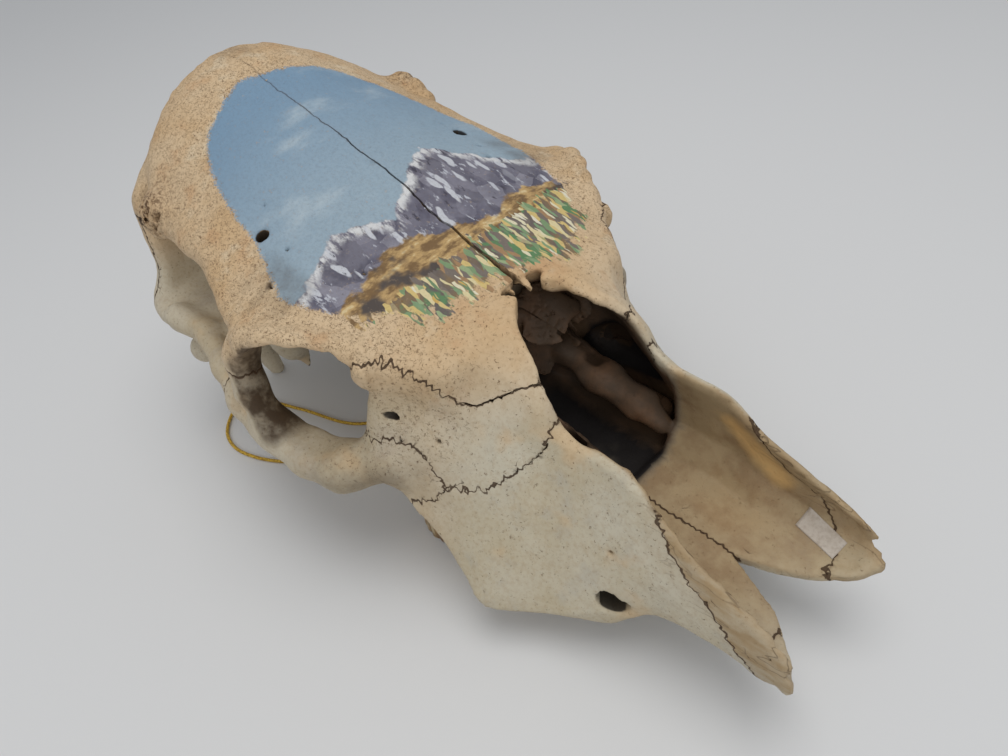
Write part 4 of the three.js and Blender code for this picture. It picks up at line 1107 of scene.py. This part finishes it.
def bone_material(name, painted=False):
    g = Nodes(name)
    porous, deep, knob, torn, comb, drawn = (
        g.attr(a) for a in ("porous", "deep", "knob", "torn", "comb", "drawn"))
    broad = g.noise(16, 4, .6)
    mid = g.noise(55, 4, .6)
    fine = g.noise(420, 3, .6)
    warm = g.mix(g.ramp(broad, .38, .66), (205, 180, 146), (197, 166, 126))
    warm = g.over(warm, (190, 150, 110), g.ramp(mid, .52, .72), .6)
    warm = g.over(warm, (212, 196, 168), g.spots(34, 4, .6, .56, .7), .6)
    cool = g.mix(g.ramp(broad, .38, .66), (196, 188, 168), (186, 174, 148))
    cool = g.over(cool, (176, 170, 156), g.ramp(mid, .50, .70), .5)
    cool = g.over(cool, (206, 170, 124), g.spots(30, 3, .5, .56, .70), .45)
    col = g.mix(g.attr("pale"), warm, cool)
    col = g.over(col, (150, 118, 80), g.ramp(fine, .40, .75), .25)

    # Pores: short curved dashes, close together where the bone is spongy
    worm = g.vein(g.noise(760, 1.5, .5, g.map((.8, 1.0, 1.0), (0, 0, .5)), distort=.8), .040, .008)
    dens = g.math("MULTIPLY_ADD", g.spots(38, 3, .6, .30, .70), .05, -.025)
    thr = g.minus(g.math("MULTIPLY_ADD", porous, -.19, .62), dens)
    pores = g.mul(worm, g.spots(520, 2, .5, thr, g.plus(thr, .06)))
    specks = g.mul(g.spots(1500, 1, .5, g.math("MULTIPLY_ADD", porous, -.05, .70), .76), .6)
    pit = g.math("MAXIMUM", pores, specks)

    # The painting, worn at its edge and off the pores
    if painted:
        edge = g.plus(g.attr("paint"), g.wave(7.0, 150, 5, .7))
        edge = g.plus(edge, g.mul(pit, 1.6))
        spike = g.noise(230, 2, .5, g.map((.24, 1.0, 1), (0, 0, .2)))
        spike = g.mul(g.ramp(spike, .46, .62), -9.0, g.ramp(g.axis(0), -.005, .012))
        edge = g.plus(edge, g.plus(g.wave(6.0, 900, 2, .6), spike))
        on = g.ramp(edge, 1.2, -1.2)
        thin = g.less(g.mul(g.ramp(fine, .60, .78), .35))
        col = g.over(col, painting(g), on, thin)
        pit = g.mul(pit, g.less(g.mul(on, .82)))
    col = g.over(col, (108, 80, 52), pit, .80)

    # Inner faces of the nose, stains, dark stain and painted shadow deep in the nose, painted shade in
    # hollows and in the orbit, broken edges
    vest = g.mix(g.ramp(mid, .4, .65), (168, 145, 110), (149, 122, 88))
    col = g.over(col, vest, g.attr("inner"), .9)
    col = g.over(col, (238, 196, 130), g.attr("stain"), .70)
    # Deep in the nose: dark brown stain with painted shadow, near black where the painted shadow is deepest
    dark = g.mix(g.spots(34, 4, .6, .40, .66), (84, 68, 54), (112, 84, 62))
    dark = g.over(dark, (30, 26, 25), g.attr("void_shadow"))
    col = g.over(col, dark, deep)
    # Painted shade: darker brown where the bone is hemmed in, as in creases and hollows, less of it on the
    # painting
    hollow_shade = g.mul(g.ramp(g.attr("open"), .62, .12), g.spots(70, 4, .6, .25, .7, .35, 1.0))
    if painted:
        hollow_shade = g.mul(hollow_shade, g.less(g.mul(on, .85)))
    col = g.over(col, (96, 72, 48), hollow_shade, .62)
    col = g.over(col, (150, 112, 70), knob, .35)
    col = g.over(col, (88, 62, 36), knob, g.spots(330, 3, .7, .50, .60))
    # Painted shade on the back wall of the orbit, and a darker patch on the cheek
    col = g.over(col, (70, 54, 38), g.attr("orbit_shade_cheek_dark"), g.spots(80, 4, .6, .30, .60, .45, .85))
    streak = g.noise(190, 3, .6, g.map((.25, 1, 1), (0, .5, 0)))
    col = g.over(col, (152, 126, 88), g.attr("strip"), g.ramp(streak, .32, .66, .40, .85))
    col = g.over(col, (162, 136, 100), torn, .5)
    crack = g.vein(g.noise(85, 2, .6, g.map((.30, 1, 1), (0, .5, 0)), distort=.3), .016, .004)
    col = g.over(col, (66, 48, 32), torn, crack, .45)

    # Toothed lines of the sutures, and painted shade in the small holes
    teeth = g.mul(g.wave(9.0, .42, .6, .5, g.attr("foot", "Vector")), comb)
    away = g.math("ABSOLUTE", g.plus(g.attr("suture"), teeth))
    width = g.mul(g.spots(120, 2, .5, .35, .65, .22, .46), g.math("MULTIPLY_ADD", comb, .9, 1.0))
    line = g.ramp(away, g.plus(width, .16), g.minus(width, .10))
    line = g.mul(line, drawn, g.less(deep))
    col = g.over(col, (44, 30, 20), line, .90)
    col = g.over(col, (112, 80, 48), g.ramp(away, 1.5, .1), g.less(deep), drawn, .22)
    col = g.over(col, (58, 42, 28), g.attr("seam"), .85)
    col = g.over(col, (26, 20, 15), g.ramp(g.attr("hole"), .2, .9), .92)
    n = g.bump(g.plus(mid, g.mul(fine, .35)), .35, .0012)
    n = g.bump(g.less(pit), .55, .0006, n)
    n = g.bump(g.less(g.mul(crack, torn)), .6, .001, n)
    n = g.bump(g.less(line), .7, .0008, n)
    return g.surface(col, g.ramp(mid, .3, .7, .58, .74), n, specular=0.28)


bone_mat = bone_material("bone")
painted_mat = bone_material("painted_bone", True)
for name, o in objects.items():
    o.data.materials.clear()
    o.data.materials.append(painted_mat if name.startswith("frontal") else bone_mat)


# Cheek teeth: length, width and height of the worn face of each, from the back
CROWNS = ((26.5, 22, 0), (25, 23, 0), (21.5, 22, 1.5), (17.5, 18.5, 3.5), (17, 17, 6))
MOLARS = 3
CROWN_TOP = 33
MOLAR_RIBS = ((1.3, .05, .06), (1.5, .5, .07), (1.1, .95, .06), (.7, .27, .06), (.7, .74, .06))
SMALL_RIBS = ((1.0, .4, .1),)


def hump(t, at, wide):
    return math.exp(-((t - at) / wide) ** 2)


def tooth_mesh(length, width, foot, side, x0, y_out, molar):
    """One crown: a ribbed wall, and a worn face with crescent-shaped pits."""
    n = 64
    outline = []
    for i in range(n):
        a = 2 * math.pi * i / n
        c, s = math.cos(a), math.sin(a)
        px = length / 2 * math.copysign(abs(c) ** 0.55, c)
        py = width / 2 * math.copysign(abs(s) ** 0.62, s)
        t = px / length + 0.5
        if s > 0:
            ribs = MOLAR_RIBS if molar else SMALL_RIBS
            py += sum(h * hump(t, at, wide) for h, at, wide in ribs) - 1.0
        elif molar:
            py += 2.6 * hump(t, .5, .09)
        outline.append((px, py))
    levels = [(foot, .93), (foot + .7, .985), (foot + 2.2, 1.0), (foot + 8, 1.0), (CROWN_TOP - 4, .985),
              (CROWN_TOP, .96)]
    V, Q = [], []
    for z, k in levels:
        V += [(px * k, py * k, z + .054 * math.sin(9 * px)) for px, py in outline]
    for r in range(len(levels) - 1):
        Q += band(r * n, (r + 1) * n, n)
    # Worn face, in rings towards the middle
    last = 0
    for k in (.80, .66, .50, .34, .18):
        start = len(V)
        for px, py in outline:
            t = px / length
            depth = 0.0
            for lobe in ((-.25, .25) if molar else (0,)):
                d = math.hypot((t * k - lobe) * 5.2 + .25 * (py * k / width) ** 2, py * k / width * 2.1)
                depth += 1.9 * hump(d, .55, .2)
            V.append((px * k, py * k, foot + 0.25 + min(depth, 2.2)))
        Q += band(start, last, n)
        last = start
    V += [(0, 0, foot + 1.0), (0, 0, CROWN_TOP)]
    b = (len(levels) - 1) * n
    for i in range(n):
        j = (i + 1) % n
        Q += [(last + j, last + i, len(V) - 2), (b + i, b + j, len(V) - 1)]
    V = np.array(V)
    V[:, 0] += x0 + length / 2
    V[:, 1] = side * (y_out - width / 2 + V[:, 1])
    if side < 0:
        Q = [q[::-1] for q in Q]
    return V, Q


def tooth_material():
    g = Nodes("tooth")
    ribs = g.noise(260, 3, .6, g.map((1, 1, .15)))
    col = g.mix(g.ramp(ribs, .38, .64), (196, 178, 140), (150, 118, 74))
    stain = g.ramp(g.noise(90, 4, .6, g.map((1, 1, .4))), .50, .66)
    col = g.over(col, (70, 50, 34), stain, .75)
    worn = g.ramp(g.axis(2), .0065, .0025)
    col = g.over(col, (120, 88, 56), worn, g.spots(170, 3, .5, .35, .6))
    return g.surface(col, g.ramp(ribs, .3, .7, .32, .55), g.bump(ribs, .4, .0006))


tooth_mat = tooth_material()
for word, side in (("left", 1), ("right", -1)):
    V, Q, x = [], [], 216
    for i, (length, width, foot) in enumerate(CROWNS):
        v, q = tooth_mesh(length, width, foot, side, x, 73 - 0.8 * i - 0.55 * i * i, i < MOLARS)
        Q += [tuple(k + len(V) for k in f) for f in q]
        V += v.tolist()
        x += length + 0.5
    o = new_mesh(f"cheek_teeth_{word}", V, Q)
    o.data.materials.append(tooth_mat)
    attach(o, "root")


# Cord
CORD = 2.4
FLOOR = CORD / 2 + 0.1
STEP = 0.6
ROUTE = [(118, 111.5, 79), (119, 112, 62), (124, 111, 32), (132, 100, 9), (140, 78, FLOOR),
         (146, 44, FLOOR), (143, 6, FLOOR), (130, -28, FLOOR), (112, -49.5, FLOOR), (69, -66, FLOOR),
         (32, -84, FLOOR), (29, -95, FLOOR), (38, -107, FLOOR), (50, -115, FLOOR), (66, -117.5, FLOOR),
         (84, -113, FLOOR), (104, -102, FLOOR), (132, -78, FLOOR), (152, -38, FLOOR), (160, 6, FLOOR),
         (160, 46, FLOOR), (153, 80, FLOOR), (141, 104, 10), (132, 113, 34), (126, 113.5, 62),
         (125, 113, 79)]


def between(t, ta, tb, a, b):
    return (tb - t) / (tb - ta) * a + (t - ta) / (tb - ta) * b


def smooth_route(points, step):
    """Centripetal spline through the points, at even steps, never under the floor."""
    P = np.array(points, float)
    P = np.vstack([2 * P[0] - P[1], P, 2 * P[-1] - P[-2]])
    out = []
    for i in range(1, len(P) - 2):
        p0, p1, p2, p3 = P[i - 1:i + 3]
        t0 = 0
        t1 = t0 + math.sqrt(np.linalg.norm(p1 - p0))
        t2 = t1 + math.sqrt(np.linalg.norm(p2 - p1))
        t3 = t2 + math.sqrt(np.linalg.norm(p3 - p2))
        for t in np.linspace(t1, t2, 60, endpoint=False):
            a2 = between(t, t1, t2, p1, p2)
            b1 = between(t, t0, t2, between(t, t0, t1, p0, p1), a2)
            b2 = between(t, t1, t3, a2, between(t, t2, t3, p2, p3))
            out.append(between(t, t1, t2, b1, b2))
    out.append(P[-2])
    out = np.array(out)
    out[:, 2] = np.maximum(out[:, 2], FLOOR)
    s = np.concatenate([[0], np.cumsum(np.linalg.norm(np.diff(out, axis=0), axis=1))])
    even = np.linspace(0, s[-1], int(s[-1] / step) + 1)
    return np.stack([np.interp(even, s, out[:, k]) for k in range(3)], 1)


def twisted(path, radius, step, sides=14, pitch=5.5, strands=3):
    """A laid cord: lobes that wind round the line."""
    T = np.gradient(path, axis=0)
    T /= np.linalg.norm(T, axis=1)[:, None]
    n = np.cross(T[0], (0, 0, 1.0))
    if np.linalg.norm(n) < .1:
        n = np.cross(T[0], (1.0, 0, 0))
    V, Q = [], []
    for i, (p, t) in enumerate(zip(path, T)):
        n = n - t * (n @ t)
        n /= np.linalg.norm(n)
        b = np.cross(t, n)
        turn = 2 * math.pi * i * step / pitch
        for k in range(sides):
            a = 2 * math.pi * k / sides
            r = radius * (.80 + .20 * abs(math.cos((a - turn) * strands / 2)))
            V.append(p + r * (math.cos(a) * n + math.sin(a) * b))
    end = (len(path) - 1) * sides
    for i in range(0, end, sides):
        Q += band(i, i + sides, sides)
    Q.append(tuple(range(sides))[::-1])
    Q.append(tuple(range(end, end + sides)))
    return V, Q


def cord_material():
    g = Nodes("gold_cord")
    twist = g.noise(900, 2, .5)
    col = g.mix(g.ramp(twist, .35, .65), (150, 112, 22), (224, 184, 62))
    return g.surface(col, 0.42, g.bump(twist, .5, .0003), metal=0.25)


cord_mat = cord_material()
path = smooth_route(ROUTE, STEP)
V, Q = twisted(path, CORD / 2, STEP)
cord = new_mesh("gold_cord", V, Q)
cord.data.materials.append(cord_mat)
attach(cord, "root")
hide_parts("hanging_cord")
way = metres(path[::5])
if np.abs(way[-1] - metres(path[-1])).max() > 1e-9:
    way = np.vstack([way, metres(path[-1])])

# The hitch: turns round the arch
TURNS = 3
TURN_STEPS = 48
steps = TURNS * TURN_STEPS
turns = []
for i in range(steps + 1):
    a = 2 * math.pi * i / TURN_STEPS
    turns.append((118.9 + 5.2 * i / steps, 112.6 + 12.7 * math.cos(a), 95.2 + 13.5 * math.sin(a)))
V, Q = twisted(np.array(turns), 0.9, 1.6, 10)
hitch = new_mesh("cord_turns", V, Q)
hitch.data.materials.append(cord_mat)
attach(hitch, "root")
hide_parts("cord_hitch")


# Paper sticker, left blank
CORNERS = ((397, 40, 60), (419, 37, 54), (417, 29, 48), (395, 32, 52))
ABOVE = 14  # mm over the bone, where the search for the bone under the paper starts


def sticker():
    corners = np.array(CORNERS, float)
    trees = []
    for name in ("maxilla_left", "incisive_left"):
        me = objects[name].data
        trees.append(BVHTree.FromPolygons([tuple(v.co) for v in me.vertices],
                                          [tuple(p.vertices) for p in me.polygons]))
    n = np.cross(corners[1] - corners[0], corners[3] - corners[0])
    n /= np.linalg.norm(n)
    if n @ (np.array(EYE) - corners.mean(0)) < 0:
        n = -n
    m = 14
    top, bottom = [], []
    for i in range(m + 1):
        for j in range(m + 1):
            a, b = i / m, j / m
            p = ((1 - a) * (1 - b) * corners[0] + a * (1 - b) * corners[1] + a * b * corners[2]
                 + (1 - a) * b * corners[3])
            hits = [t.ray_cast(Vector(metres(p + n * ABOVE)), Vector(-n), 0.04) for t in trees]
            found = [hit[3] for hit in hits if hit[0] is not None]
            if found:
                p = p + n * (ABOVE - min(found) / MM)
            curl = 0.5 * max(0, a - .8) ** 2 * 25 * max(0, b - .7)
            bottom.append(p + n * (0.12 + curl))
            top.append(p + n * (0.34 + curl))
    k = (m + 1) ** 2
    Q = []
    for i in range(m):
        for j in range(m):
            a = i * (m + 1) + j
            q = (a, a + m + 1, a + m + 2, a + 1)
            Q += [q, tuple(v + k for v in q[::-1])]
    rim = ([i * (m + 1) for i in range(m)] + [m * (m + 1) + j for j in range(m)]
           + [i * (m + 1) + m for i in range(m, 0, -1)] + list(range(m, 0, -1)))
    for a, b in zip(rim, rim[1:] + rim[:1]):
        Q.append((a, a + k, b + k, b))
    o = new_mesh("paper_sticker", np.array(top + bottom), Q)
    g = Nodes("paper")
    fibre = g.noise(500, 4, .6)
    col = g.mix(g.ramp(fibre, .4, .7), (196, 186, 174), (180, 168, 154))
    col = g.over(col, (160, 142, 120), g.spots(60, 3, .5, .5, .75), .4)
    o.data.materials.append(g.surface(col, 0.62, g.bump(fibre, .25, .0002)))
    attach(o, "root")


sticker()


# Floor and light
def stage_and_light():
    bpy.ops.mesh.primitive_plane_add(size=9, location=(0, 0, -0.0004))
    floor = bpy.context.object
    floor.name = "floor"
    floor.data.materials.append(Nodes("floor").surface([0.68, 0.68, 0.68, 1], 0.85, specular=0.1))
    world = bpy.data.worlds.new("studio")
    bpy.context.scene.world = world
    world.use_nodes = True
    world.node_tree.nodes["Background"].inputs[0].default_value = (0.93, 0.96, 1.0, 1)
    world.node_tree.nodes["Background"].inputs[1].default_value = 0.50

    def area(name, place, target, size, power, colour=(1, 1, 1)):
        data = bpy.data.lights.new(name, "AREA")
        data.shape = "DISK"
        data.size = size
        data.energy = power
        data.color = colour
        o = bpy.data.objects.new(name, data)
        o.location = place
        d = Vector(target) - Vector(place)
        o.rotation_euler = d.to_track_quat("-Z", "Y").to_euler()
        bpy.context.scene.collection.objects.link(o)

    area("overhead", (0.1, 0.0, 1.5), (0, 0, 0.1), 1.2, 9, (1, .99, .97))
    area("side", (1.1, -1.0, 1.1), (0.05, 0, 0.08), 0.9, 4.5, (1, .99, .97))
    bpy.context.scene.view_settings.view_transform = "Standard"


stage_and_light()
